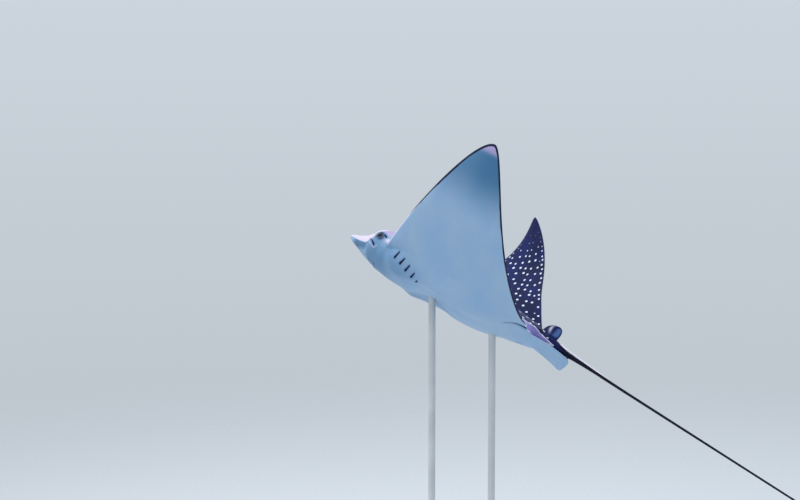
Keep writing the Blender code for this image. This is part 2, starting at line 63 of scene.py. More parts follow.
# Flat outline of a wing as two Bezier curves, half-widths of the head and of the body behind it
FRONT_EDGE = [(0.125, 0.072), (0.205, 0.250), (0.316, 0.5), (0.367, 0.5)]
REAR_EDGE = [(0.367, 0.5), (0.397, 0.5), (0.474, 0.175), (0.543, 0.062)]
HEAD_WIDTH = [(SNOUT_TIP, 0.0), (-0.004, 0.0050), (0.004, 0.0100), (0.014, 0.0160),
              (0.030, 0.0265), (0.046, 0.0375), (0.060, 0.046), (0.075, 0.060), (0.090, 0.066),
              (0.105, 0.0665), (0.125, 0.072)]
REAR_WIDTH = [(0.543, 0.062), (0.551, 0.050), (0.558, 0.038), (0.566, 0.031), (0.580, 0.026),
              (0.600, 0.0165), (0.620, 0.0122)]

# Height of the back, depth of the belly, droop of the snout, and the rounding of the trunk
BACK = [(SNOUT_TIP, 0.0005), (-0.002, 0.0030), (0.012, 0.0060), (0.030, 0.0090), (0.048, 0.0150),
        (0.060, 0.0300), (0.070, 0.0435), (0.085, 0.0520), (0.110, 0.0560), (0.150, 0.0580),
        (0.200, 0.062), (0.260, 0.064), (0.330, 0.060), (0.400, 0.051), (0.470, 0.040),
        (0.540, 0.029), (0.600, 0.0180), (0.620, 0.0155)]
BELLY = [(SNOUT_TIP, 0.0025), (-0.002, 0.0068), (0.006, 0.0118), (0.020, 0.0182), (0.060, 0.0365),
         (0.100, 0.0460), (0.140, 0.0525), (0.190, 0.0540), (0.215, 0.0470), (0.245, 0.0392),
         (0.280, 0.0372), (0.330, 0.0475), (0.380, 0.0505), (0.420, 0.0470), (0.460, 0.0398),
         (0.500, 0.0331), (0.550, 0.0230), (0.600, 0.0115), (0.620, 0.0080)]
SNOUT_DROOP = [(SNOUT_TIP, 0.0060), (0.015, 0.0042), (0.035, 0.0016), (0.060, 0.0)]
TRUNK_WIDTH = [(0.120, 0.0708), (0.126, 0.0723), (0.134, 0.0755), (0.148, 0.0880),
               (0.164, 0.1040), (0.220, 0.125), (0.300, 0.130), (0.400, 0.120),
               (0.470, 0.100), (0.540, 0.070), (TAIL_FRONT, 0.045)]
BACK_ROUND = [(0.0, 0.5), (0.050, 0.5), (0.112, 0.5), (0.145, 0.8), (0.220, 1.5),
              (0.400, 1.6), (0.500, 1.3), (TAIL_FRONT, 0.7), (0.600, 0.5)]
BELLY_ROUND = [(0.0, 0.45), (0.050, 0.4), (0.112, 0.45), (0.145, 0.7), (0.220, 1.2),
               (0.400, 1.5), (0.500, 1.3), (TAIL_FRONT, 0.7), (0.600, 0.5)]
WING_THICKNESS = [(0.0, 0.052), (0.070, 0.050), (0.120, 0.043), (0.200, 0.0285), (0.300, 0.0165),
                  (0.400, 0.0090), (0.470, 0.0052), (0.500, 0.0040)]

# Lift at the root, curl, further curl at the tip and slant of the curl, for each wing, in
# radians; then how far out the curl starts, and how far beyond that it has the angle given
WING_POSE = {"left": (0.36, 0.645, -0.183, -0.045), "right": (0.513, 1.70, 0.677, 0.655)}
SIDES = {"left": -1.0, "right": 1.0}
CURL_START = 0.10
CURL_REACH = 0.4

# Start and width of the ranges over which the lift sets in and the body gives way to the wing,
# both outward, and over which the rear edge trails, going aft
LIFT_RANGE = (0.035, 0.10)
POSED_RANGE = (0.03, 0.09)
TRAIL_RANGE = (0.33, 0.12)

# How far the right wing's rear edge trails aft, from the body out to the tip
TRAIL = [(0.0, 0.0), (0.040, 0.0), (0.085, 0.0105), (0.115, 0.0120), (0.160, 0.0060), (0.200, 0.0),
         (0.260, -0.0066), (0.360, -0.0030), (0.460, 0.0), (0.520, 0.0)]
TRAIL_SHARE = {"left": 0.0, "right": 1.0}

# Eyeballs: radius, and the place of the right one
EYE_RADIUS = 0.0080
EYE_PLACE = np.array([0.0895, 0.0580, 0.0172])

# Pelvic fins: inner and outer edge of the right one, half-thickness at foot and hind edge,
# hollow of the underside, how far each hind edge is raised and tucked forward, and numbers of
# rays and of scallops
PELVIC_INNER = [(0.500, 0.030, -0.018), (0.545, 0.022, -0.028), (0.600, 0.012, -0.029),
                (0.644, 0.008, -0.043)]
PELVIC_OUTER = [(0.500, 0.046, -0.010), (0.545, 0.052, -0.009), (0.610, 0.060, -0.004),
                (0.667, 0.048, -0.019)]
PELVIC_THICKNESS = (0.0042, 0.0011)
PELVIC_HOLLOW = 0.004
PELVIC_RAISE = {"left": 0.0, "right": 0.032}
PELVIC_TUCK = {"left": 0.0, "right": 0.030}
PELVIC_RAYS = 6.0
PELVIC_SCALLOPS = 8.0

# Dorsal fin: station of its middle, reach ahead of it and behind, height of its foot, its own
# height, its lean aft and its half-thickness
DORSAL_STATION = 0.577
DORSAL_AHEAD, DORSAL_BEHIND = 0.028, 0.018
DORSAL_FOOT, DORSAL_HEIGHT = 0.008, 0.044
DORSAL_LEAN = 0.008
DORSAL_THICKNESS = 0.0040

# Tail, by the distance along it: radius, slope downward and turn to the right; the height of its
# centre at the root, and how fast the root widens forward
TAIL_LENGTH = 1.90
TAIL_RADIUS = [(0.0, 0.0122), (0.02, 0.0080), (0.05, 0.0056), (0.12, 0.0035), (0.40, 0.0027),
               (0.90, 0.0019), (1.50, 0.0011), (TAIL_LENGTH, 0.0006)]
TAIL_ROOT_RISE = 0.004
TAIL_ROOT_FLARE = 0.35
TAIL_SLOPE = [(0.0, NOSE_UP), (0.012, 0.465), (0.12, 0.520), (0.70, 0.520), (1.10, 0.42),
              (1.50, 0.24), (TAIL_LENGTH, 0.06)]
TAIL_TURN = [(0.0, 0.0), (0.25, 0.145), (0.80, 0.145), (1.35, 0.02), (TAIL_LENGTH, -0.12)]

# Stings: start along the tail, length, width, height off the tail at base and at point; then
# thickness, the groove's depth as a share of it, and roll about the tail in radians
STINGS = {"lower": (0.020, 0.066, 0.0076, 0.0005, 0.0005),
          "upper": (0.004, 0.142, 0.0070, 0.0028, 0.0010)}
STING_THICKNESS = 0.0020
STING_GROOVE = 0.30
STING_ROLL = 0.75

# How far round a fin's foot the skin is rounded into the body, in metres, and how often; how
# far off the nearest point of the skin as drawn may be; and how near two points are one
SEAM_REACH = 0.010
SEAM_PASSES = 14
SEAM_SEARCH = 0.02
PLACE_STEP = 4e-6

# Where the front root of a wing is smoothed, how far round it, how much and how often
ROOT_PLACE = (0.136, 0.078)
ROOT_REACH = (0.016, 0.018)
ROOT_SHARE = 0.9
ROOT_PASSES = 24

# Eyes: the way they look, in disc widths; in metres, the room in their sockets and how far the
# cornea stands out; and the angle from the line of sight to the cornea's rim, in radians
EYE_LOOK = np.array([-0.0012, 0.0040, 0.0014])
EYE_CLEARANCE = 0.0002
CORNEA = 0.0009
CORNEA_ANGLE = 0.75

# Barbs of the stings: spacing in metres and share of the half-width
BARB_PITCH = 0.0050
BARB_DEPTH = 0.30

# What the finish reads where there is no wing edge near, in metres: the depth into its dark
# margin, and the distance from it; and how far the dorsal fin's pattern is moved
NO_MARGIN = -0.05
NO_RIM = 0.05
FIN_SHIFT = 1.0

# Where the edge of a wing is measured from, in disc widths: from which station to which, how far
# from the midline at least, and how far in from the edge at most
RIM_STATIONS = (0.128, 0.545)
RIM_INNER = 0.06
RIM_REACH = 0.10

# Scattered spots, in metres: spacing, scatter as a share of it, least and greatest radius, the
# distances outside and inside the radius between which the paint changes, the distances from a
# wing's edge over which they reach full size and full strength, and the share left out
SPOT_SPACING = 0.0320
SPOT_SPREAD = 0.38
SPOT_RADIUS = (0.0046, 0.0055)
SPOT_BLUR = (0.0008, -0.0006)
SPOT_GROWTH = (0.0200, 0.0320)
SPOT_ONSET = (0.0205, 0.0225)
SPOT_GAPS = 0.06

# The row of spots inside each edge of a wing, in metres: spacing, scatter as a share of it,
# radii, place across the row, how far in from the edge it starts and ends, and the share left out
ROW_SPACING = 0.0235
ROW_SPREAD = 0.34
ROW_RADIUS = (0.0042, 0.0050)
ROW_SHIFT = 0.5 * ROW_SPREAD * ROW_SPACING - 0.0140
ROW_START = 0.0035
ROW_END = 0.0235
ROW_GAPS = 0.08

# Freckles of the belly and shallow pleats across the skin, in metres from one to the next
FRECKLE_SPACING = 0.017
PLEAT_SPACING = 0.011

# Studio, in metres, degrees and millimetres of lens: the floor, which starts to fade at
# FLOOR_FADE from its middle; the colours of the surroundings, and the range of upward slope over
# which one passes into the other; the camera
FLOOR_RADIUS = 9.0
FLOOR_FADE = 2.0
FLOOR_MIDDLE = (1.2, 0.0, -0.0005)
FLOOR_RINGS, FLOOR_SECTORS = 24, 96
SURROUND_RANGE = (-0.35, 0.60)
SURROUND_LOW = (0.50, 0.55, 0.60, 1.0)
SURROUND_HIGH = (0.72, 0.79, 0.86, 1.0)
CAMERA_LENS = 61.693
CAMERA_PLACE = (2.2575, -4.4541, 1.9327)
CAMERA_TURN = (86.0, 0.0, 29.36)

# Fineness of the skin: steps of a curve, spacing of the rings along the body, number and spacing
# of the points over and under it, and the share of them that crowds to the margin
FINE = 401
RING_SPACING = [(SNOUT_TIP, 0.0004), (0.004, 0.0010), (0.020, 0.0016), (0.118, 0.0016),
                (0.124, 0.0006), (0.146, 0.0007), (0.156, 0.0015), (0.258, 0.0015),
                (0.275, 0.0045), (0.335, 0.0045), (0.350, 0.0020), (0.390, 0.0020),
                (0.405, 0.0044), (0.462, 0.0044), (0.475, 0.0021), (0.545, 0.0018),
                (0.610, 0.0018)]
OVER, UNDER = 48, 80
OVER_SPACING = [(0.0, 0.0045), (0.110, 0.0045), (0.200, 0.0140), (0.500, 0.0140)]
UNDER_SPACING = [(0.0, 0.0022), (0.115, 0.0022), (0.200, 0.0140), (0.500, 0.0140)]
MARGIN_SHARE = 0.35

# Where rings keep every second and every fourth point; rings of the tail, and the points of one
# up to a distance along it; steps of an eyeball from front to back and around
HALVED_FROM, QUARTERED_FROM = 0.545, 0.588
TAIL_RINGS = 169
TAIL_SIDES = [(0.02, 64), (0.35, 32), (2.0 * TAIL_LENGTH, 16)]
EYE_STEPS, EYE_SIDES = 40, 48


# ---- curves and the flat body

def ease(t):
    """Smooth step: 0 below 0, 1 above 1, level at both ends."""
    t = np.clip(t, 0.0, 1.0)
    return t * t * (3.0 - 2.0 * t)


def grows(value, start, width):
    """0 up to start, then a smooth rise to 1 over width."""
    return ease((value - start) / width)


def fades(value, start, width):
    """1 up to start, then a smooth fall to 0 over width."""
    return 1.0 - grows(value, start, width)


def stacked(*parts):
    """Arrays, spread to one shape, as the coordinates of points."""
    return np.stack(np.broadcast_arrays(*parts), -1)


def unit(vectors):
    """Vectors brought to length one."""
    return vectors / np.linalg.norm(vectors, axis=-1, keepdims=True)


def full_turn(count):
    """Angles shared out evenly round a circle."""
    return np.linspace(0.0, 2.0 * math.pi, count, endpoint=False)


def there_and_back(near, far):
    """Rings that run along near and return along far, which has the same two ends."""
    return np.concatenate([near, far[:, -2:0:-1]], 1)


def bezier(points, count):
    """Points of a cubic Bezier curve, spaced evenly in its parameter."""
    t = np.linspace(0.0, 1.0, count)[:, None]
    p = np.asarray(points, float)
    return ((1 - t) ** 3 * p[0] + 3 * t * (1 - t) ** 2 * p[1] + 3 * t * t * (1 - t) * p[2]
            + t ** 3 * p[3])


def profile(x, knots):
    """A smooth curve through (station, value) knots that never overshoots: Hermite cubics whose
    slope at a knot is the harmonic mean of the slopes beside it."""
    stations, values = np.asarray(knots, float).T
    step = np.diff(stations)
    rise = np.diff(values) / step
    before, after = rise[:-1], rise[1:]
    safe = np.where(before * after > 0, before + after, 1.0)
    slope = np.zeros_like(values)
    slope[1:-1] = np.where(before * after > 0, 2.0 * before * after / safe, 0.0)
    slope[0], slope[-1] = rise[0], rise[-1]
    x = np.clip(x, stations[0], stations[-1])
    i = np.clip(np.searchsorted(stations, x) - 1, 0, len(step) - 1)
    t = (x - stations[i]) / step[i]
    return ((2 * t ** 3 - 3 * t * t + 1) * values[i] + (t ** 3 - 2 * t * t + t) * step[i] * slope[i]
            + (3 * t * t - 2 * t ** 3) * values[i + 1] + (t ** 3 - t * t) * step[i] * slope[i + 1])


FRONT_CURVE = bezier(FRONT_EDGE, FINE)
REAR_CURVE = bezier(REAR_EDGE, FINE)
TIP_STATION = FRONT_EDGE[-1][0]


def outline(x):
    """Half-width of the flat animal at station x: head, front edge, rear edge, body."""
    half = profile(x, HEAD_WIDTH)
    half = np.where(x > FRONT_EDGE[0][0], np.interp(x, *FRONT_CURVE.T), half)
    half = np.where(x > TIP_STATION, np.interp(x, *REAR_CURVE.T), half)
    return np.where(x > REAR_EDGE[-1][0], profile(x, REAR_WIDTH), half)


def wing_half_thickness(x, y):
    """Half-thickness of a wing: with q the share of the chord, half the thickness at y times
    1.95 sqrt(q) (1 - q)^0.9 (1 - 0.15 q): blunt in front, greatest at a third, thin behind.
    Beside the body it swells in gently behind the head."""
    front = np.interp(np.maximum(y, FRONT_EDGE[0][1]), FRONT_CURVE[:, 1], FRONT_CURVE[:, 0])
    rear = np.interp(-np.maximum(y, REAR_EDGE[-1][1]), -REAR_CURVE[:, 1], REAR_CURVE[:, 0])
    q = np.clip((x - front) / np.maximum(rear - front, 1e-6), 0.0, 1.0)
    foil = 1.95 * np.sqrt(q) * (1.0 - q) ** 0.9 * (1.0 - 0.15 * q)
    beside = grows(y, 0.068, 0.040)
    rise = beside + (1.0 - beside) * grows(x, FRONT_EDGE[0][0], 0.070)
    return 0.5 * profile(y, WING_THICKNESS) * foil * grows(y, 0.03, 0.05) * rise


def heights(x, y):
    """Top and underside of the flat animal: the trunk, height * (1 - (y / width)^2)^rounding,
    added to the foil of the wing, which ends in a blunt rim EDGE wide."""
    edge = outline(x)
    width = profile(x, TRUNK_WIDTH)
    width = np.where(x < NECK_END, np.minimum(edge, width), width)
    width = np.where(x > TAIL_FRONT, edge, width)
    crown = np.clip(1.0 - (y / np.maximum(width, 1e-6)) ** 2, 0.0, 1.0)
    inside = np.sqrt(np.clip(1.0 - (y / np.maximum(edge, 1e-6)) ** 2, 0.0, 1.0))
    closing = np.where(x < NECK_END, 1.0, np.clip(inside / CLOSING_SHARE, 0.0, 1.0))
    foil = wing_half_thickness(x, y) + EDGE * np.sqrt(np.clip((edge - y) / EDGE, 0.0, 1.0))
    top = profile(x, BACK) * crown ** profile(x, BACK_ROUND) * closing + foil
    under = profile(x, BELLY) * crown ** profile(x, BELLY_ROUND) * closing + foil
    droop = profile(x, SNOUT_DROOP)
    return top - droop, -under - droop


# ---- pose and place

# Steps of the way outward, a little past the tip, at which lift and curl are worked out
SPAN = np.linspace(0.0, 0.52, 105)


def arc(angle):
    """Outward and upward travel along a line whose slope is angle, at each step of SPAN."""
    middle = 0.5 * (angle[1:] + angle[:-1])
    step = SPAN[1]
    out = np.concatenate([[0.0], np.cumsum(np.cos(middle)) * step])
    up = np.concatenate([[0.0], np.cumsum(np.sin(middle)) * step])
    return out, up


def pose_wing(x, y, z, side):
    """Curl the wing about a slanting axis, lift it at its root, and leave the body as it is."""
    lift, curl, tip_curl, slant = WING_POSE[side]
    cos, sin = math.cos(slant), math.sin(slant)
    across = (y - CURL_START) * cos + (x - BALANCE_STATION) * sin
    along = (x - BALANCE_STATION) * cos - (y - CURL_START) * sin
    reach = SPAN / CURL_REACH
    angle = curl * reach + tip_curl * reach ** 3
    out, up = arc(angle)
    past = np.maximum(across, 0.0)
    tilt = np.interp(past, SPAN, angle)
    flat = np.minimum(across, 0.0) + np.interp(past, SPAN, out) - z * np.sin(tilt)
    raised = np.interp(past, SPAN, up) + z * np.cos(tilt)
    y_curled = CURL_START + flat * cos - along * sin
    x_curled = BALANCE_STATION + flat * sin + along * cos
    x_curled = x_curled + TRAIL_SHARE[side] * profile(y, TRAIL) * grows(x, *TRAIL_RANGE)
    root = lift * grows(SPAN, *LIFT_RANGE)
    out, up = arc(root)
    held = np.clip(y_curled, 0.0, SPAN[-1])
    tilt = np.interp(held, SPAN, root)
    spare = y_curled - held
    y_new = np.interp(held, SPAN, out) + spare * np.cos(tilt) - raised * np.sin(tilt)
    z_new = np.interp(held, SPAN, up) + spare * np.sin(tilt) + raised * np.cos(tilt)
    share = grows(y, *POSED_RANGE)
    return x + share * (x_curled - x), y + share * (y_new - y), z + share * (z_new - z)


def turn_matrix():
    """Bank about the body's axis, then pitch nose up."""
    cn, sn, cb, sb = math.cos(NOSE_UP), math.sin(NOSE_UP), math.cos(BANK), math.sin(BANK)
    pitch = np.array([[cn, 0.0, sn], [0.0, 1.0, 0.0], [-sn, 0.0, cn]])
    bank = np.array([[1.0, 0.0, 0.0], [0.0, cb, sb], [0.0, -sb, cb]])
    return pitch @ bank


ATTITUDE = turn_matrix()


def place(points):
    """Body points, in disc widths, to the world, in metres."""
    return (points - [BALANCE_STATION, 0.0, 0.0]) @ ATTITUDE.T * DISC_WIDTH + BODY_PLACE


def posed(points):
    """Flat points with y signed, left negative: each side posed as its own wing, then placed."""
    moved = np.empty_like(points)
    for side, sign in SIDES.items():
        here = points[..., 1] * sign >= 0.0
        x, y, z = (points[here] * [1.0, sign, 1.0]).T
        moved[here] = stacked(*pose_wing(x, y, z, side)) * [1.0, sign, 1.0]
    return place(moved)


# ---- rings of the skin

def ring_stations():
    """Stations of the rings, as close together as RING_SPACING asks."""
    x = np.linspace(SNOUT_TIP, TRUNK_END, 8 * FINE)
    close = 1.0 / np.interp(x, *np.transpose(RING_SPACING))
    count = np.concatenate([[0.0], np.cumsum(0.5 * (close[1:] + close[:-1]) * np.diff(x))])
    return np.interp(np.linspace(0.5, count[-1], int(count[-1])), count, x)


def across_ring(half, spacing, number):
    """Distances from the midline for each half-width: a share of them even in the angle round
    an ellipse, which crowds them to the margin, and the rest as the spacing asks."""
    y = np.linspace(0.0, 0.5, FINE)
    step = np.diff(y) / np.interp(0.5 * (y[1:] + y[:-1]), *np.transpose(spacing))
    wanted = np.concatenate([[0.0], np.cumsum(step)])
    turn = np.linspace(0.0, 1.0, FINE)
    even = np.linspace(0.0, 1.0, number + 1)
    rows = []
    for width in half:
        count = np.interp(width * np.sin(0.5 * math.pi * turn), y, wanted)
        share = MARGIN_SHARE * turn + (1.0 - MARGIN_SHARE) * count / count[-1]
        rows.append(width * np.sin(0.5 * math.pi * np.interp(even, share, turn)))
    return np.array(rows)


def flat_rings():
    """Flat points of every ring, from the middle of the back over the right side, under the
    belly and up the left side, with +1 on the back and -1 beneath."""
    x = ring_stations()
    half = outline(x)
    above = across_ring(half, OVER_SPACING, OVER)
    below = across_ring(half, UNDER_SPACING, UNDER)
    top = heights(x[:, None], above)[0]
    under = heights(x[:, None], below)[1]
    y = np.concatenate([above[:, :-1], below[:, :0:-1], -below[:, :-1], -above[:, :0:-1]], 1)
    z = np.concatenate([top[:, :-1], under[:, :0:-1], under[:, :-1], top[:, :0:-1]], 1)
    face = np.repeat([1.0, -1.0, 1.0], [OVER, 2 * UNDER, OVER])
    return stacked(x[:, None], y, z), np.tile(face, (len(x), 1))


def round_off(points):
    """Rings from ROUND_FROM on pass into circles (r * sin(a), r * cos(a)), the section of the
    tail, with the angle a shared out evenly by the last of them."""
    x = points[:, 0, 0]
    share = ease((x - ROUND_FROM) / (TRUNK_END - ROUND_FROM))[:, None]
    count = 2 * (OVER + UNDER)
    quarters = np.array([0.0, 0.5, 1.0, 1.5, 2.0]) * math.pi
    own = np.interp(np.arange(count), [0, OVER, OVER + UNDER, OVER + 2 * UNDER, count], quarters)
    angle = (1.0 - share) * own + share * full_turn(count)
    radius = TAIL_RADIUS[0][1] + TAIL_ROOT_FLARE * (TRUNK_END - x)[:, None]
    circle = stacked(x[:, None], radius * np.sin(angle), TAIL_ROOT_RISE + radius * np.cos(angle))
    return (1.0 - share)[..., None] * points + share[..., None] * circle


def normals_of(points):
    """Outward unit normals of a grid of rings."""
    along = np.gradient(points, axis=0)
    around = np.roll(points, -1, axis=1) - np.roll(points, 1, axis=1)
    normal = np.cross(along, around)
    return normal / np.maximum(np.linalg.norm(normal, axis=-1, keepdims=True), 1e-12)


def distance_to(points, path):
    """Distance of each point from a polyline, and where along it, 0 to 1, the nearest lies."""
    path = np.asarray(path, float)
    best = np.full(points.shape[:-1], 1e9)
    place_on = np.zeros(points.shape[:-1])
    lengths = np.linalg.norm(np.diff(path, axis=0), axis=1)
    starts = np.concatenate([[0.0], np.cumsum(lengths)])
    for a, b, length, start in zip(path[:-1], path[1:], lengths, starts):
        t = np.clip(((points - a) @ (b - a)) / length ** 2, 0.0, 1.0)
        d = np.linalg.norm(points - a - t[..., None] * (b - a), axis=-1)
        nearer = d < best
        best = np.where(nearer, d, best)
        place_on = np.where(nearer, (start + t * length) / starts[-1], place_on)
    return best, place_on


def on_side(x, z):
    """Distance from the midline of the point of a flank at station x and height z."""
    y = outline(np.array(x)) * np.sqrt(np.linspace(0.0, 1.0, FINE))
    top, under = heights(np.full(FINE, x), y)
    return float(np.interp(-abs(z), -top if z > 0.0 else under, y))


def on_skin(path):
    """A path's points on the flat surface: their third number is 1 for the back, -1 for the
    belly, and otherwise a height, from which the distance from the midline is found."""
    points = np.asarray(path, float)[:, :3].copy()
    for point in points:
        if abs(point[2]) == 1.0:
            point[2] = heights(point[0], point[1])[point[2] < 0.0]
        else:
            point[1] = on_side(point[0], point[2])
    return points


# Openings, folds and creases of the skin.  A point of a path has its station, its distance from
# the midline, its face or height as on_skin reads them and, where the path is painted too, the
# half-width of the paint there
GILLS = [[(0.1758, 0.0966, -1, 0.0026), (0.1836, 0.1100, -1, 0.0013)],
         [(0.1963, 0.0956, -1, 0.0026), (0.2046, 0.1076, -1, 0.0013)],
         [(0.2144, 0.0882, -1, 0.0025), (0.2227, 0.1008, -1, 0.0013)],
         [(0.2317, 0.0787, -1, 0.0024), (0.2391, 0.0906, -1, 0.0012)],
         [(0.2435, 0.0665, -1, 0.0018), (0.2488, 0.0760, -1, 0.0010)]]
MOUTH = [(0.1000, 0.0, -1, 0.0004), (0.1008, 0.012, -1, 0.0005), (0.1012, 0.021, -1, 0.0008),
         (0.1020, 0.0265, -1, 0.0019)]
CURTAIN = [(0.0935, 0.0, -1), (0.0935, 0.012, -1), (0.0915, 0.021, -1), (0.0870, 0.027, -1)]
NOSTRIL = [(0.0800, 0.0270, -1, 0.0009), (0.0835, 0.0255, -1, 0.0012)]
NASAL_GROOVE = [(0.0835, 0.0275, -1), (0.0905, 0.0290, -1), (0.0970, 0.0285, -1)]
LOBE_FOOT = [(0.0565, 0.0, 1), (0.0575, 0.018, 1), (0.0620, 0.034, 1), (0.0680, 0.047, 1)]
LOBE_UNDER = [(0.0680, 0.0, -1), (0.0690, 0.014, -1), (0.0720, 0.025, -1)]
NOTCH = [(0.0700, 0.0555, 0.0000, 0.0007), (0.0790, 0.0592, -0.0040, 0.0018),
         (0.0880, 0.0622, -0.0095, 0.0024), (0.0940, 0.0636, -0.0135, 0.0008)]
NOTCH_RIM = [(0.0690, 0.0550, -0.0065, 0.0004), (0.0830, 0.0600, -0.0130, 0.0008),
             (0.0962, 0.0640, -0.0178, 0.0007), (0.0992, 0.0662, -0.0095, 0.0004)]
LOBE_EDGE = [(0.0320, 0.0272, -0.0085, 0.0006), (0.0457, 0.0326, -1, 0.0008),
             (0.0570, 0.0330, -1, 0.0009), (0.0716, 0.0360, -1, 0.0010),
             (0.0864, 0.0343, -1, 0.0008), (0.0975, 0.0290, -1, 0.0005)]
SPIRACLE = [(0.0925, 0.0545, 0.0275, 0.0007), (0.0975, 0.0556, 0.0268, 0.0026),
            (0.1030, 0.0565, 0.0252, 0.0022), (0.1075, 0.0575, 0.0225, 0.0006)]
WING_CREASE = bezier([(0.4857, 0.0644, -1, 0.0001), (0.5030, 0.0735, -1, 0.0001),
                      (0.5220, 0.0700, -1, 0.0010), (0.5400, 0.0633, -1, 0.0022)], 9)
VENT = [(0.5130, 0.0, -1, 0.0004), (0.5290, 0.0, -1, 0.0006)]
SPINE = [(0.1500, 0.0, 1), (0.2500, 0.0, 1), (0.3500, 0.0, 1), (0.4500, 0.0, 1),
         (0.5300, 0.0, 1)]

# The lilac flank behind the wings, down its middle, a painted sheen on the dark skin there; the
# height above which the snout's sides are white, the underside's white carried up with a painted
# highlight over it, and under which lies a band of painted shadow; the share of the head's
# half-width that is dark on top, outside which the top is painted pale as a sheen; and the height
# that parts back from belly behind the wings
FLANK = [(0.5245, 0.0680, 0.0085, 0.0046), (0.5410, 0.0624, 0.0038, 0.0096),
         (0.5535, 0.0450, 0.0022, 0.0108), (0.5665, 0.0310, 0.0008, 0.0094),
         (0.5830, 0.0240, 0.0010, 0.0055), (0.6010, 0.0161, 0.0022, 0.0016)]
LOBE_LOW = [(SNOUT_TIP, -0.0072), (0.0004, -0.0074), (0.016, -0.0093), (0.034, -0.0110),
            (0.055, -0.0115), (0.064, -0.0085), (0.070, -0.0010), (0.078, 0.0010), (0.095, 0.004)]
DARK_CAP = [(SNOUT_TIP, 0.0), (0.004, 0.20), (0.030, 0.52), (0.060, 0.50), (0.095, 0.35),
            (0.120, 0.45), (0.140, 0.90)]
PARTING = [(0.541, 0.0007), (0.553, -0.0010), (0.566, -0.0020), (0.583, -0.0010), (0.601, 0.0),
           (0.609, -0.0060), (0.620, -0.0250)]


# Path, width, depth and fading at its ends of every groove, in order; a negative depth raises a
# ridge.  Those of HEAD_RELIEF come before the eye sockets, those of REAR_RELIEF after them
HEAD_RELIEF = [(MOUTH, 0.0055, -0.0016, 0.0), (MOUTH, 0.0018, 0.0040, 0.0),
               (CURTAIN, 0.0035, -0.0010, 0.0), (NOSTRIL, 0.0026, 0.0045, 0.0),
               (NASAL_GROOVE, 0.0018, 0.0018, 0.15), (LOBE_FOOT, 0.0040, 0.0030, 0.0),
               (NOTCH, 0.0036, 0.0042, 0.10), (NOTCH_RIM, 0.0028, -0.0012, 0.2),
               (LOBE_UNDER, 0.0032, 0.0016, 0.0), (LOBE_EDGE, 0.0034, -0.0007, 0.25),
               (SPIRACLE, 0.0075, -0.0018, 0.0), (SPIRACLE, 0.0040, 0.0064, 0.0)]
REAR_RELIEF = [(WING_CREASE, 0.0042, 0.0016, 0.0), (WING_CREASE[4:], 0.0044, 0.0022, 0.0),
               (VENT, 0.0060, -0.0010, 0.0), (VENT, 0.0024, 0.0018, 0.2),
               (SPINE, 0.0080, 0.0010, 0.2)]


def groove(folded, lowered, path, width, depth, fade, before=0.0):
    """Lower the surface along a path by depth * exp(-(distance / width)^2), fading at its ends.
    A negative depth raises a ridge; before moves the whole path forward."""
    path = on_skin(path) - [before, 0.0, 0.0]
    reach = 3.0 * width
    rows = np.nonzero((folded[:, 0, 0] > path[:, 0].min() - reach)
                      & (folded[:, 0, 0] < path[:, 0].max() + reach))[0]
    part = slice(rows[0], rows[-1] + 1)
    away, along = distance_to(folded[part], path)
    ends = ease(along / fade) * ease((1.0 - along) / fade) if fade else 1.0
    lowered[part] += depth * np.exp(-(away / width) ** 2) * ends


def relief(points):
    """Depth pressed into the flat skin along its normals: gills, mouth, nostrils, the edges of
    the snout lobe, eye sockets, spiracles and the creases behind the wings."""
    folded = stacked(points[..., 0], np.abs(points[..., 1]), points[..., 2])
    lowered = np.zeros(points.shape[:-1])
    for slit in GILLS:
        groove(folded, lowered, slit, 0.0040, -0.0010, 0.0, before=0.0034)
        groove(folded, lowered, slit, 0.0019, 0.0030, 0.0)
    for path, width, depth, fade in HEAD_RELIEF:
        groove(folded, lowered, path, width, depth, fade)
    away = np.linalg.norm(folded - EYE_PLACE, axis=-1) / EYE_RADIUS
    lowered += 0.0030 * np.exp(-(away / 0.75) ** 4)
    lowered -= 0.0016 * np.exp(-((away - 1.30) / 0.28) ** 2)
    for path, width, depth, fade in REAR_RELIEF:
        groove(folded, lowered, path, width, depth, fade)
    return lowered


# ---- what the finish reads

def rim_of(points):
    """For each flat point: distance in from the wing's edge, and distance along that edge, both
    in metres.  Points away from the edge of a wing get a large distance."""
    curve = np.concatenate([FRONT_CURVE, REAR_CURVE[1:]])
    run = np.concatenate([[0.0], np.cumsum(np.linalg.norm(np.diff(curve, axis=0), axis=1))])
    flat = np.stack([points[..., 0], np.abs(points[..., 1])], -1)
    x, y = flat[..., 0], flat[..., 1]
    inward = outline(x) - y
    rim, along = np.full(x.shape, RIM_REACH), np.zeros(x.shape)
    ahead, behind = RIM_STATIONS
    close = (x > ahead) & (x < behind) & (inward < RIM_REACH) & (y > RIM_INNER)
    nearest, near = nearest_of(flat[close], curve)
    rim[close], along[close] = near, run[nearest]
    return rim * DISC_WIDTH, along * DISC_WIDTH


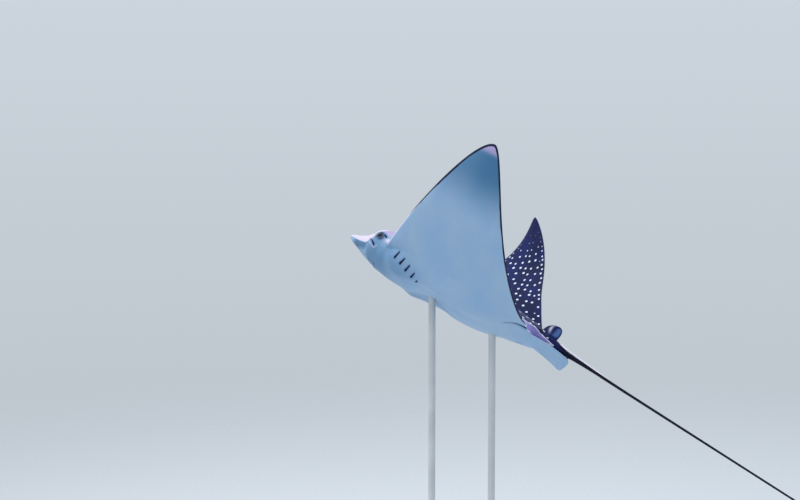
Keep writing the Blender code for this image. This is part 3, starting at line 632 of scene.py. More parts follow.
def body_marks(points, face):
    """What the finish reads at each point of the body, lengths in metres.
    tone: +1 back to -1 belly; depth into the dark margin; share of the head;
    rows: distance from the edge of a wing and along it, or behind the wings height above the
    parting and station; and the size of the pale spots;
    mark: shares of dusky skin and painted shade, of pale skin and painted highlights, and of a
    pinkish painted sheen."""
    x, z = points[..., 0], points[..., 2]
    y = np.abs(points[..., 1])
    above, below = face > 0.0, face < 0.0
    behind = x > PARTING[0][0]
    head = 1.0 - grows(x, 0.120, 0.022)

    nape = 0.0032 * fades(x, 0.150, 0.080) * fades(y, 0.072, 0.012)
    level = np.where(behind, profile(x, PARTING), nape)
    soft = np.where(behind, 0.0008, 0.0006)
    on_body = np.clip((z - level) / soft, -1.0, 1.0)
    aside = y / np.maximum(outline(x), 1e-6)
    # On the head only the middle of the top is dark; outside the cap the top shows the underside's
    # pale paint, a painted sheen.
    cap = profile(x, DARK_CAP)
    on_head = np.where(above, np.clip((cap - aside) / 0.16, -1.0, 1.0), -1.0)
    back = (1.0 - head) * on_body + head * on_head

    rim, along = rim_of(points)
    front_margin = 0.0070 * grows(y, 0.17, 0.24) * (x < TIP_STATION + 0.01)
    rear_margin = 0.0062 * ease((x - TIP_STATION + 0.01) / 0.02) * grows(y, 0.068, 0.02)
    margin = np.maximum(front_margin, rear_margin)
    margin = margin - rim - 0.004 * (margin < 0.001)
    rim = np.where(behind, (z - level) * DISC_WIDTH, rim)
    along = np.where(behind, x * DISC_WIDTH, along)
    spots = grows(x, 0.105, 0.05) * above
    spots = spots * (1.0 - 0.55 * grows(y, 0.36, 0.08)) * fades(y, 0.44, 0.05)
    spots = np.where(behind, ease((z - level - 0.008) / 0.0040), spots)

    dusk_and_shading = grows(y, 0.300, 0.135) * (1.0 - 0.9 * grows(y, 0.466, 0.030)) * below
    dusk_and_shading *= 0.82 + 0.16 * grows(x, 0.320, 0.05)
    # Painted shade: on the head's sides below the brow, below the eyes, round the eye sockets, in a
    # band under the white of the snout's sides, and in front of the gills.
    brow = x - 0.35 * np.maximum(z, 0.0)
    side = grows(brow, 0.062, 0.020) * (1.0 - 0.6 * grows(x, 0.110, 0.070))
    side *= fades(z, 0.020, 0.010) * fades(x, 0.160, 0.080)
    dusk_and_shading = np.maximum(dusk_and_shading, 0.66 * side * ease((0.118 - y) / 0.040))
    cheek_shade = np.exp(-np.abs((x - 0.0925) / 0.0175) ** 3 - np.abs((z - 0.0135) / 0.0135) ** 3)
    dusk_and_shading = np.maximum(dusk_and_shading, cheek_shade * (y > 0.045))
    away = np.linalg.norm(stacked(x, y, z) - EYE_PLACE - [0.001, 0.0, 0.003], axis=-1)
    socket = np.exp(-(away / (1.75 * EYE_RADIUS)) ** 4)
    dusk_and_shading = np.maximum(dusk_and_shading, socket)
    low = profile(x, LOBE_LOW)
    lobe = grows(x, 0.004, 0.02) * fades(x, 0.060, 0.030)
    lobe *= grows(low, z, 0.0016) * ease((z + 0.034) / 0.012)
    dusk_and_shading = np.maximum(dusk_and_shading, 0.80 * lobe)
    throat_shade = np.exp(-((x - 0.170) / 0.075) ** 2 - ((y - 0.075) / 0.042) ** 2) * below
    dusk_and_shading = np.maximum(dusk_and_shading, 0.58 * throat_shade)

    # Pale: the underside's white carried up the snout's sides with a painted highlight over it,
    # painted highlights along each wing's front edge near the body, and a painted highlight at the
    # front root of each wing.
    pale = ease((z - low + 0.0008) / 0.0018) * fades(brow, 0.070, 0.010)
    pale = pale * (1.0 - grows(cap, aside, 0.12) * above)
    rim_light = ease((0.0055 - rim) / 0.003) * fades(y, 0.20, 0.12) * (x > 0.132)
    pale = np.maximum(pale, rim_light * (x < TIP_STATION))
    root_highlight = np.exp(-(((x - 0.1185) / 0.007) ** 2 + ((z - 0.015) / 0.006) ** 2)) * (y > 0.05)
    pale = np.maximum(pale, root_highlight)
    # A pinkish painted sheen over the top of the head, and a pinkish painted highlight at each
    # wing's tip beneath.
    crown = grows(z, 0.027, 0.007) * grows(x, 0.072, 0.016) * head * above
    rosy_sheen = np.maximum(crown, grows(y, 0.472, 0.014) * below)
    pale, rosy_sheen = pale * (1.0 - socket), rosy_sheen * (1.0 - socket)
    return stacked(back, margin, head), stacked(rim, along, spots), stacked(dusk_and_shading, pale, rosy_sheen)


# ---- joining rings into a mesh

def make_mesh(name, points, faces):
    """An object at the origin from points and a list of face arrays."""
    mesh = bpy.data.meshes.new(name)
    corners = []
    for block in faces:
        corners += block.tolist()
    mesh.from_pydata(points.reshape(-1, 3).tolist(), [], corners)
    mesh.shade_smooth()
    made = bpy.data.objects.new(name, mesh)
    bpy.context.scene.collection.objects.link(made)
    return made


def strips(rings):
    """Faces between successive rings; where a ring has half the points of the one before, each
    of its edges meets two.  Both ends are closed by a strip across the ring."""
    faces, start = [], 0
    for ring, after in zip(rings[:-1], rings[1:]):
        count, few = len(ring), len(after)
        k = np.arange(few)
        n = (k + 1) % few
        second = start + count
        if count == few:
            faces.append(np.stack([start + k, second + k, second + n, start + n], -1))
        else:
            a, b, c = start + 2 * k, start + 2 * k + 1, start + (2 * k + 2) % count
            faces.append(np.stack([a, second + k, b], -1))
            faces.append(np.stack([b, second + k, second + n], -1))
            faces.append(np.stack([b, second + n, c], -1))
        start = second
    first = len(rings[0])
    faces += lid(0, first) + [f[:, ::-1] for f in lid(start, len(rings[-1]))]
    return faces


def lid(start, count):
    """Flat closing faces that join the right side of a ring to the left side."""
    k = np.arange(1, count // 2 - 1)
    quads = np.stack([start + k, start + k + 1, start + count - k - 1, start + count - k], -1)
    half = count // 2
    ends = np.array([[start, start + 1, start + count - 1],
                     [start + half - 1, start + half, start + half + 1]])
    return [quads, ends]


def points_at(s, steps, points):
    """Points in between others that stand at the given steps."""
    return stacked(*[np.interp(s, steps, points[:, k]) for k in range(3)])


def tail_line(s):
    """Centre, right and up directions of the tail at distances s along it, in disc widths."""
    steps = np.linspace(0.0, TAIL_LENGTH, FINE)
    slope, turn = profile(steps, TAIL_SLOPE), profile(steps, TAIL_TURN)
    ahead = stacked(np.cos(slope) * np.cos(turn), np.cos(slope) * np.sin(turn), -np.sin(slope))
    travel = 0.5 * (ahead[1:] + ahead[:-1]) * (steps[1] - steps[0]) * DISC_WIDTH
    start = place(np.array([[TRUNK_END, 0.0, TAIL_ROOT_RISE]]))[0]
    line = start + np.concatenate([np.zeros((1, 3)), np.cumsum(travel, axis=0)])
    centre, forward = points_at(s, steps, line), points_at(s, steps, ahead)
    right = unit(ATTITUDE[:, 1] - forward * (forward @ ATTITUDE[:, 1])[:, None])
    return centre, right, np.cross(forward, right)


def settled(rings, share, passes):
    """Move each point towards the mean of its four neighbours, as far as its share, in passes."""
    for _ in range(passes):
        around = np.roll(rings, 1, axis=1) + np.roll(rings, -1, axis=1)
        mean = 0.25 * (around[1:-1] + rings[:-2] + rings[2:])
        rings[1:-1] += share[1:-1, :, None] * (mean - rings[1:-1])
    return rings


def body_and_tail():
    """One closed grid from the tip of the snout to the end of the tail, with its marks."""
    flat, face = flat_rings()
    flat = round_off(flat)
    marks = body_marks(flat, face)
    shaped = flat - normals_of(flat) * relief(flat)[..., None]
    from_root = (np.abs(flat[..., :2]) - ROOT_PLACE) / ROOT_REACH
    share = ROOT_SHARE * np.exp(-(from_root ** 2).sum(-1) ** 2)
    world = settled(posed(shaped), share, ROOT_PASSES)
    values = np.concatenate([flat * DISC_WIDTH, *marks], -1)
    station = flat[:, 0, 0]
    keep = np.where(station < HALVED_FROM, 1, np.where(station < QUARTERED_FROM, 2, 4))
    rings = [row[::every] for row, every in zip(world, keep)]
    notes = [row[::every] for row, every in zip(values, keep)]
    s = TAIL_LENGTH * np.linspace(0.0, 1.0, TAIL_RINGS + 1)[1:] ** 1.5
    centre, right, up = tail_line(s)
    radius = profile(s, TAIL_RADIUS)
    for i, here in enumerate(s):
        count = next(sides for end, sides in TAIL_SIDES if here < end)
        angle = full_turn(count)
        sin, cos = np.sin(angle)[:, None], np.cos(angle)[:, None]
        rings.append(centre[i] + (sin * right[i] + cos * up[i]) * radius[i] * DISC_WIDTH)
        note = np.zeros((count, values.shape[-1]))
        note[:, 0] = (TRUNK_END + here) * DISC_WIDTH
        note[:, 1:3] = np.concatenate([sin, cos], 1) * radius[i] * DISC_WIDTH
        note[:, 3] = 1.0
        note[:, 4] = NO_MARGIN
        note[:, 6:8] = NO_RIM, note[0, 0]
        notes.append(note)
    return np.concatenate(rings), strips(rings), np.concatenate(notes)


def pelvic_fin(side):
    """A flat lobe beside the root of the tail: lines across it run from a Bezier inner edge to
    a Bezier outer edge, thinning aft, with low rays and a faintly scalloped hind edge."""
    rows, columns = 60, 41
    t = np.linspace(0.0, 1.0, rows)[:, None]
    s = 0.5 - 0.5 * np.cos(np.linspace(0.0, math.pi, columns))[None, :]
    round_end = 1.0 - 0.05 * np.abs(2.0 * s - 1.0) ** 8
    wave = 0.5 + 0.5 * np.cos(2.0 * math.pi * PELVIC_SCALLOPS * s)
    scallop = 1.0 - 0.006 * wave * grows(t, 0.8, 0.2)
    run = t * round_end * scallop
    even = np.linspace(0.0, 1.0, FINE)
    a = points_at(run, even, bezier(PELVIC_INNER, FINE))
    b = points_at(run, even, bezier(PELVIC_OUTER, FINE))
    line = a + (b - a) * s[..., None]
    line[..., 2] += PELVIC_RAISE[side] * run * (0.6 + 0.4 * s)
    line[..., 2] -= PELVIC_HOLLOW * np.sin(math.pi * s)
    line[..., 0] -= PELVIC_TUCK[side] * run
    normal = unit(stacked(0.0, a[..., 2] - b[..., 2], b[..., 1] - a[..., 1]))
    ray = 0.5 + 0.5 * np.cos(2.0 * math.pi * PELVIC_RAYS * s)
    thin = 1.0 - 0.75 * grows(t, 0.75, 0.25)
    half = (PELVIC_THICKNESS[0] + (PELVIC_THICKNESS[1] - PELVIC_THICKNESS[0]) * t) * thin
    lens = np.sqrt(np.clip(1.0 - (2.0 * s - 1.0) ** 2, 0.0, 1.0))
    depth = (half * (0.88 + 0.12 * ray) * lens)[..., None]
    rings = there_and_back(line + normal * depth, line - normal * depth) * [1.0, SIDES[side], 1.0]
    back = np.concatenate([np.ones(columns), -np.ones(columns - 2)])
    back[[0, columns - 1]] = 0.0
    # Painted shade in the grooves between the rays, on the underside only.
    lines = (1.0 - ray) ** 6 * grows(t, 0.35, 0.3) * 0.28
    return shell(rings, back, spots=0.9, dusk_and_shading=there_and_back(0.0 * lines, lines))


def dorsal_fin():
    """A small upright fin: levels from foot to top, each a foil of a chord that shrinks by
    sqrt(1 - rise^4), thinning upward and flared at its foot."""
    rows, columns = 34, 26
    rise = np.linspace(0.0, 1.0, rows)[:, None]
    shrink = np.sqrt(np.maximum(1.0 - rise ** 4, 0.0015))
    middle = DORSAL_STATION + DORSAL_LEAN * rise
    q = 0.5 - 0.5 * np.cos(np.linspace(0.0, math.pi, columns))[None, :]
    front, rear = middle - DORSAL_AHEAD * shrink, middle + DORSAL_BEHIND * shrink
    x = front + (rear - front) * q
    flare = 1.0 + 0.9 * np.exp(-((rise - 0.22) / 0.16) ** 2 * (rise > 0.22))
    half = DORSAL_THICKNESS * (1.0 - 0.75 * rise) * flare * np.sqrt(np.sin(math.pi * q)) * 0.8
    z = DORSAL_FOOT + DORSAL_HEIGHT * rise
    rings = there_and_back(stacked(x, half, z), stacked(x, -half, z))
    slant = (rise - 0.74) + 1.4 * (q - 0.24)
    streak = np.exp(-(slant / 0.12) ** 2 - ((q - 0.27) / 0.13) ** 2)
    # A lighter area at the rear of the fin: painted light shining through the thin fin.
    glow_patch = grows(q, 0.52, 0.20) * ease((0.96 - q) / 0.08) * grows(rise, 0.30, 0.20)
    glow_patch = glow_patch * ease((0.95 - rise) / 0.12)
    glow_patch, streak = there_and_back(glow_patch, glow_patch), there_and_back(streak, streak)
    return shell(rings, back=1.0, spots=0.0, dusk_and_shading=glow_patch, pale=streak, upright=True)


def shell(rings, back, spots, dusk_and_shading, pale=0.0, upright=False):
    """World points, faces and marks of a fin given by flat rings, its faces turned outward.  On
    an upright fin the finish's pattern runs up it, and is moved off the body's by FIN_SHIFT."""
    marks = np.zeros((*rings.shape[:2], 12))
    marks[..., 0:3] = rings * DISC_WIDTH
    if upright:
        marks[..., 1] = rings[..., 2] * DISC_WIDTH + FIN_SHIFT
    marks[..., 3] = back
    marks[..., 4] = NO_MARGIN
    marks[..., 6] = NO_RIM
    marks[..., 8] = spots
    marks[..., 9] = dusk_and_shading
    marks[..., 10] = pale
    world = place(rings).reshape(-1, 3)
    return world, closed(rings, world), marks.reshape(-1, 12)


def volume(points, faces):
    """Six times the volume that faces enclose: positive where they point outward."""
    total = 0.0
    for block in faces:
        for k in range(2, block.shape[1]):
            a, b, c = points[block[:, 0]], points[block[:, k - 1]], points[block[:, k]]
            total += np.sum(a * np.cross(b, c))
    return total


def closed(rings, points):
    """Faces that close a shell over rings, turned over if they would point inward."""
    faces = strips(list(rings))
    return faces if volume(points, faces) > 0.0 else [block[:, ::-1] for block in faces]


def give(made, name, values):
    """Store three numbers for each point of a piece, for its finish to read."""
    layer = made.data.attributes.new(name, "FLOAT_VECTOR", "POINT")
    layer.data.foreach_set("vector", values.astype(np.float32).ravel())


def unite(body, fins):
    """Join closed shells into one closed skin, and give the points of the result."""
    for fin in fins:
        tool = body.modifiers.new("join", "BOOLEAN")
        tool.operation = "UNION"
        tool.solver = "EXACT"
        tool.object = fin
    seen = body.evaluated_get(bpy.context.evaluated_depsgraph_get())
    joined = bpy.data.meshes.new_from_object(seen)
    body.modifiers.clear()
    body.data = joined
    for fin in fins:
        bpy.data.objects.remove(fin)
    points = np.empty(3 * len(joined.vertices), np.float32)
    joined.vertices.foreach_get("co", points)
    return points.reshape(-1, 3)


def key_of(points):
    """One whole number for each point's place: its three distances in steps of PLACE_STEP."""
    steps = np.round((points.astype(np.float64) + 1.0) / PLACE_STEP).astype(np.int64)
    return steps[:, 0] + (steps[:, 1] << 21) + (steps[:, 2] << 42)


def within(points, others, reach):
    """Which points lie in the box round some others, widened by reach."""
    return np.all((points > others.min(0) - reach) & (points < others.max(0) + reach), 1)


def nearest_of(points, others):
    """For each point, the nearest of the others and its distance, a block at a time."""
    found, away = np.empty(len(points), int), np.empty(len(points))
    for start in range(0, len(points), 256):
        block = points[start:start + 256]
        gap = ((block[:, None, :] - others[None]) ** 2).sum(-1)
        found[start:start + 256] = gap.argmin(1)
        away[start:start + 256] = np.sqrt(gap.min(1))
    return found, away


def carried(points, sources, values):
    """Each point's values from the source at its place.  A point that the joining made takes
    them from the nearest source, without spots, and is marked as lying on a seam."""
    order = np.argsort(key_of(sources))
    keys = key_of(sources)[order]
    wanted = key_of(points)
    slot = np.clip(np.searchsorted(keys, wanted), 0, len(keys) - 1)
    seam = keys[slot] != wanted
    result = values[order[slot]]
    made = points[seam]
    close = np.nonzero(within(sources, made, SEAM_SEARCH))[0]
    result[seam] = values[close[nearest_of(made, sources[close])[0]]]
    result[seam, 8] = 0.0
    return result, seam


def soften(points, mesh, seam):
    """Round the inner corner of a join: points within SEAM_REACH of it move, again and again,
    part of the way to the mean of their neighbours."""
    edges = np.empty(2 * len(mesh.edges), np.int32)
    mesh.edges.foreach_get("vertices", edges)
    a, b = edges.reshape(-1, 2).T
    near = np.nonzero(within(points, points[seam], SEAM_REACH))[0]
    share = np.zeros(len(points))
    share[near] = 0.5 * (1.0 - ease(nearest_of(points[near], points[seam])[1] / SEAM_REACH))
    moving = (share[a] > 0.0) | (share[b] > 0.0)
    a, b = a[moving], b[moving]
    degree = np.bincount(a, minlength=len(points)) + np.bincount(b, minlength=len(points))
    degree = np.maximum(degree, 1)
    for _ in range(SEAM_PASSES):
        for k in range(3):
            total = (np.bincount(a, points[b, k], len(points))
                     + np.bincount(b, points[a, k], len(points)))
            points[:, k] += share * (total / degree - points[:, k]) * (share > 0.0)
    return points


def whole_skin():
    """Head, trunk, wings, fins and tail as one piece, with the marks that its finish reads."""
    shells = [body_and_tail()] + [pelvic_fin(side) for side in SIDES] + [dorsal_fin()]
    made = [make_mesh("skin", points.astype(np.float32), faces) for points, faces, _ in shells]
    sources = np.concatenate([points for points, _, _ in shells]).astype(np.float32)
    values = np.concatenate([marks for _, _, marks in shells])
    points = unite(made[0], made[1:])
    marks, seam = carried(points, sources, values)
    mesh = made[0].data
    points = soften(points.astype(float), mesh, seam)
    mesh.vertices.foreach_set("co", points.astype(np.float32).ravel())
    for name, first in (("flat", 0), ("tone", 3), ("rows", 6), ("mark", 9)):
        give(made[0], name, marks[:, first:first + 3])
    mesh.update()
    made[0].name = "skin"
    return made[0]


# ---- eyes and stings

def eye(side):
    """An eyeball: rings about the line of sight whose radius is R * sin(a) at R * cos(a) ahead of
    the centre, with a cornea that stands CORNEA further out over the iris."""
    sign = SIDES[side]
    sides = np.array([1.0, sign, 1.0])
    seat = posed((EYE_PLACE * sides)[None])[0]
    ahead = unit(posed(((EYE_PLACE + EYE_LOOK) * sides)[None])[0] - seat)
    level = unit(ATTITUDE[:, 0] - ahead * (ahead @ ATTITUDE[:, 0]))
    upright = np.cross(level, ahead) * sign
    a = np.linspace(0.0, math.pi, EYE_STEPS + 1)[1:-1, None]
    turn = full_turn(EYE_SIDES)[None, :]
    radius = EYE_RADIUS * DISC_WIDTH - EYE_CLEARANCE
    out = radius * np.cos(a) + CORNEA * ease(1.0 - a / CORNEA_ANGLE)
    wide = radius * np.sin(a)
    across, high = wide * np.cos(turn), wide * np.sin(turn)
    ball = seat + (out[..., None] * ahead + across[..., None] * level + high[..., None] * upright)
    points = ball.reshape(-1, 3)
    made = make_mesh("eyeball_" + side, points, closed(ball, points))
    give(made, "gaze", stacked(across, high, out) / radius)
    return made


def sting(which):
    """A tapering blade along the tail.  A section is a flat lens w * cos(u) wide and h * sin(u)
    high with a groove along the middle of its top; its edges are cut into barbs that widen
    towards each barb's point, which faces the root of the tail."""
    start, length, width, base_raise, point_raise = STINGS[which]
    barbs = int(length * DISC_WIDTH / BARB_PITCH)
    steps = 6 * barbs + 1
    t = np.linspace(0.0, 1.0, steps)[:, None]
    u = full_turn(16)[None, :]
    taper = 1.0 - 0.72 * t ** 2 - 0.24 * grows(t, 0.9, 0.1)
    barb = 1.0 - np.mod(t * barbs, 1.0)
    cut = 1.0 - BARB_DEPTH * (1.0 - barb) * grows(t, 0.12, 0.1) * np.abs(np.cos(u)) ** 6
    wide = 0.5 * width * taper * cut * np.cos(u)
    high = 0.5 * STING_THICKNESS * taper * np.sin(u)
    hollow = STING_GROOVE * np.exp(-(np.cos(u) / 0.28) ** 2) * (np.sin(u) > 0.0)
    high -= STING_THICKNESS * taper * hollow
    s = (start + length * t)[:, 0]
    centre, right, up = tail_line(s)
    right, up = (right * math.cos(STING_ROLL) + up * math.sin(STING_ROLL),
                 up * math.cos(STING_ROLL) - right * math.sin(STING_ROLL))
    raised = base_raise + (point_raise - base_raise) * t[:, 0]
    lift = (profile(s, TAIL_RADIUS) + raised + 0.5 * STING_THICKNESS) * DISC_WIDTH
    centre = centre + up * lift[:, None]
    rings = (centre[:, None] + right[:, None] * (wide * DISC_WIDTH)[..., None]
             + up[:, None] * (high * DISC_WIDTH)[..., None])
    points = rings.reshape(-1, 3)
    made = make_mesh("spine_" + which, points, closed(rings, points))
    made.data.set_sharp_from_angle(angle=math.radians(50))
    give(made, "blade", stacked(s[:, None] * DISC_WIDTH, np.cos(u), t))
    return made


# ---- finishes

def paint(red, green, blue):
    """A paint chart's 0 to 255 colour as the shader's linear one."""
    chart = np.array([red, green, blue]) / 255.0
    linear = np.where(chart <= 0.04045, chart / 12.92, ((chart + 0.055) / 1.055) ** 2.4)
    return (*linear.tolist(), 1.0)


class Nodes:
    """Short ways to add nodes to a material or world: values may be numbers or other nodes'
    outputs."""

    def __init__(self, owner):
        owner.use_nodes = True
        self.tree = owner.node_tree

    def feed(self, socket, value):
        if isinstance(value, bpy.types.NodeSocket):
            self.tree.links.new(value, socket)
        else:
            socket.default_value = value

    def node(self, kind, values, **settings):
        made = self.tree.nodes.new("ShaderNode" + kind)
        for name, value in settings.items():
            setattr(made, name, value)
        for socket, value in values.items():
            self.feed(made.inputs[socket], value)
        return made.outputs

    def math(self, operation, *values):
        return self.node("Math", dict(enumerate(values)), operation=operation)[0]

    def times(self, *values):
        result = values[0]
        for value in values[1:]:
            result = self.math("MULTIPLY", result, value)
        return result

    def vector(self, operation, *values):
        result = self.node("VectorMath", dict(enumerate(values)), operation=operation)
        return result["Value"] if operation in ("DOT_PRODUCT", "LENGTH") else result["Vector"]

    def attribute(self, name):
        return self.node("Attribute", {}, attribute_name=name)["Vector"]

    def parts(self, vector):
        return list(self.node("SeparateXYZ", {0: vector}))

    def place(self):
        return self.node("TexCoord", {})["Object"]

    def scaled(self, value, low, high, to_low=0.0, to_high=1.0, kind="LINEAR"):
        """A value carried from the range low to high over to another range, and held in it."""
        values = {"Value": value, "From Min": low, "From Max": high,
                  "To Min": to_low, "To Max": to_high}
        return self.node("MapRange", values, interpolation_type=kind)["Result"]

    def step(self, value, low, high):
        """0 where the value is below low, 1 above high; low may be the greater of the two."""
        return self.scaled(value, low, high, kind="SMOOTHSTEP")

    def mix(self, share, first, second):
        """Two colours mixed; the sockets are those that a Mix node shows for colours."""
        return self.node("Mix", {0: share, 6: first, 7: second}, data_type="RGBA")[2]

    def noise(self, vector, size, detail=2.0, roughness=0.5):
        """Smooth noise about 0.5 whose features are about size metres across."""
        values = {"Vector": vector, "Scale": 1.0 / size, "Detail": detail, "Roughness": roughness}
        return self.node("TexNoise", values)["Fac"]

    def cells(self, vector, spacing, spread):
        """Distance, in metres, to the nearest of scattered points, and each point's own colour."""
        values = {"Vector": vector, "Scale": 1.0 / spacing, "Randomness": spread}
        found = self.node("TexVoronoi", values, voronoi_dimensions="2D")
        return self.times(found["Distance"], spacing), self.parts(found["Color"])

    def bump(self, height, distance, strength):
        values = {"Height": height, "Distance": distance, "Strength": strength}
        return self.node("Bump", values)["Normal"]

    def coats(self, colour, *layers):
        """A colour under layers, each given by its share and its paint."""
        for share, layer in layers:
            colour = self.mix(share, colour, layer)
        return colour


class Finish(Nodes):
    """A material whose shader's sockets are set at the start or covered at the end."""

    def __init__(self, name, roughness=0.5, **fixed):
        self.material = bpy.data.materials.new(name)
        super().__init__(self.material)
        self.shader = self.tree.nodes["Principled BSDF"]
        self.shader.inputs["Roughness"].default_value = roughness
        for socket, value in fixed.items():
            self.shader.inputs[socket.replace("_", " ")].default_value = value

    def cover(self, **sockets):
        for name, value in sockets.items():
            self.feed(self.shader.inputs[name.replace("_", " ")], value)
        return self.material


def gap_from(f, place, paths):
    """Distance, in metres, outside the nearest of some paths' marks.  For each straight length
    from a to b, with half-widths u and v and t = clamp((p - a).(b - a) / |b - a|^2):
    |p - a - t (b - a)| - (u + t (v - u))."""
    nearest = None
    for path in paths:
        line = on_skin(path) * DISC_WIDTH
        widths = [point[3] * DISC_WIDTH for point in path]
        for a, b, wide, wider in zip(line[:-1], line[1:], widths[:-1], widths[1:]):
            reach = b - a
            from_a = f.vector("SUBTRACT", place, a.tolist())
            share = f.vector("DOT_PRODUCT", from_a, (reach / (reach @ reach)).tolist())
            share = f.node("Clamp", {0: share})[0]
            along = f.node("VectorMath", {0: reach.tolist(), "Scale": share}, operation="SCALE")
            gap = f.vector("LENGTH", f.vector("SUBTRACT", from_a, along["Vector"]))
            width = f.math("MULTIPLY_ADD", share, wider - wide, wide)
            gap = f.math("SUBTRACT", gap, width)
            nearest = gap if nearest is None else f.math("MINIMUM", nearest, gap)
    return nearest


def spots_of(f, flat, rows):
    """Share and paint of the back's pale spots: scattered round ones, and a row of them inside each
    edge of a wing.  A spot is where the distance to its centre is less than its radius."""
    rim, along, size = f.parts(rows)
    gap, chance = f.cells(flat, SPOT_SPACING, SPOT_SPREAD)
    radius = f.times(f.scaled(chance[1], 0.0, 1.0, *SPOT_RADIUS), size, f.step(rim, *SPOT_GROWTH))
    scattered = f.times(f.step(f.math("SUBTRACT", gap, radius), *SPOT_BLUR),
                        f.math("GREATER_THAN", chance[0], SPOT_GAPS), f.step(rim, *SPOT_ONSET))
    row_place = f.node("CombineXYZ", {0: along, 1: f.math("ADD", rim, ROW_SHIFT)})[0]
    gap, chance = f.cells(row_place, ROW_SPACING, ROW_SPREAD)
    radius = f.times(f.scaled(chance[1], 0.0, 1.0, *ROW_RADIUS), size)
    row = f.times(f.step(f.math("SUBTRACT", gap, radius), *SPOT_BLUR),
                  f.math("GREATER_THAN", chance[0], ROW_GAPS),
                  f.math("LESS_THAN", rim, ROW_END), f.math("GREATER_THAN", rim, ROW_START))
    spots = f.times(f.math("MAXIMUM", scattered, row), f.step(size, 0.12, 0.35))
    return spots, f.mix(f.step(size, 0.35, 0.75), paint(128, 112, 140), paint(226, 238, 254))


def back_paint(f, flat, rows, mark, soft, fine):
    """Navy with a little mottling, near black along the tail, with pale spots; mid blue where the
    shading share paints light through the dorsal fin, and pale over the pale share, mostly
    painted highlights.
    """
    dusk_and_shading, pale, _ = f.parts(mark)
    tail = f.step(f.parts(flat)[0], 0.605 * DISC_WIDTH, 0.640 * DISC_WIDTH)
    return f.coats(paint(0, 13, 64), (f.step(soft, 0.35, 0.68), paint(0, 21, 90)),
                   (f.times(f.step(fine, 0.45, 0.75), 0.25), paint(8, 36, 112)),
                   (tail, paint(5, 11, 34)),
                   (f.times(dusk_and_shading, 0.85), paint(74, 108, 166)),
                   (f.times(pale, 0.9), paint(222, 226, 242)),
                   spots_of(f, flat, rows))


def belly_paint(f, flat, mirrored, tone, mark, soft, fine):
    """Pale blue grey, cloudy and faintly freckled, dusky at the wing tips, with painted shade on
    the head and in front of the gills, a pinkish painted sheen, pale skin with painted highlights
    over it, a painted highlight on the rim below the notch of the snout, and a dark margin along
    the wings."""
    _, margin, head = f.parts(tone)
    dusk_and_shading, pale, rosy_sheen = f.parts(mark)
    cloud = f.noise(f.vector("MULTIPLY", flat, (1.0, 0.55, 1.0)), 0.130, 3.0, 0.55)
    freckle, chance = f.cells(flat, FRECKLE_SPACING, 1.0)
    freckle = f.times(f.step(freckle, 0.0016, 0.0004), f.math("GREATER_THAN", chance[0], 0.80))
    # Darker, near navy, where the painted shade on the head is strongest.
    deep_shade = f.times(f.step(dusk_and_shading, 0.68, 0.94), head)
    dusky = f.mix(deep_shade, paint(52, 108, 150), paint(18, 36, 80))
    # A painted highlight along the ridge below the notch of the snout.
    ridge = gap_from(f, mirrored, [NOTCH_RIM])
    line = f.math("SUBTRACT", margin, f.times(f.math("SUBTRACT", soft, 0.5), 0.006))
    # Coats: cloudy and fine tone and freckles; the dusky share with its painted shade; the pinkish
    # painted sheen; pale skin with painted highlights; the painted highlight on the ridge; the dark
    # margin.
    return f.coats(paint(142, 176, 210), (f.step(cloud, 0.35, 0.68), paint(154, 182, 210)),
                   (f.times(f.step(fine, 0.5, 0.8), 0.20), paint(184, 208, 228)),
                   (f.times(freckle, 0.30), paint(124, 144, 180)),
                   (f.times(dusk_and_shading, 0.92), dusky),
                   (f.times(rosy_sheen, 0.85), paint(188, 164, 210)),
                   (f.times(pale, 0.94), paint(220, 208, 230)),
                   (f.times(f.step(ridge, 0.0034, -0.0004), 0.40), paint(206, 204, 226)),
                   (f.step(line, -0.0010, 0.0006), paint(22, 28, 62)))


def flank_sheen_paint(f, flat, mirrored, soft):
    """Share and paint of the flank's lilac painted sheen on its dark skin: its edge a little wavy,
    white along the edge and in a few blotches."""
    strip = gap_from(f, mirrored, [FLANK])
    strip = f.math("ADD", strip, f.scaled(f.noise(flat, 0.009, 2.0), 0.3, 0.7, -0.0010, 0.0010))
    blotch = f.times(f.step(f.noise(flat, 0.011, 1.0), 0.55, 0.64), f.step(strip, -0.0040, -0.0020))
    # lilac: a painted sheen of the light on the flank's dark skin.
    lilac = f.coats(paint(138, 128, 198), (f.step(soft, 0.4, 0.6), paint(164, 154, 214)),
                    (blotch, paint(222, 222, 240)),
                    (f.step(strip, -0.0042, -0.0014), paint(222, 224, 244)))
    return f.step(strip, 0.0008, -0.0004), lilac


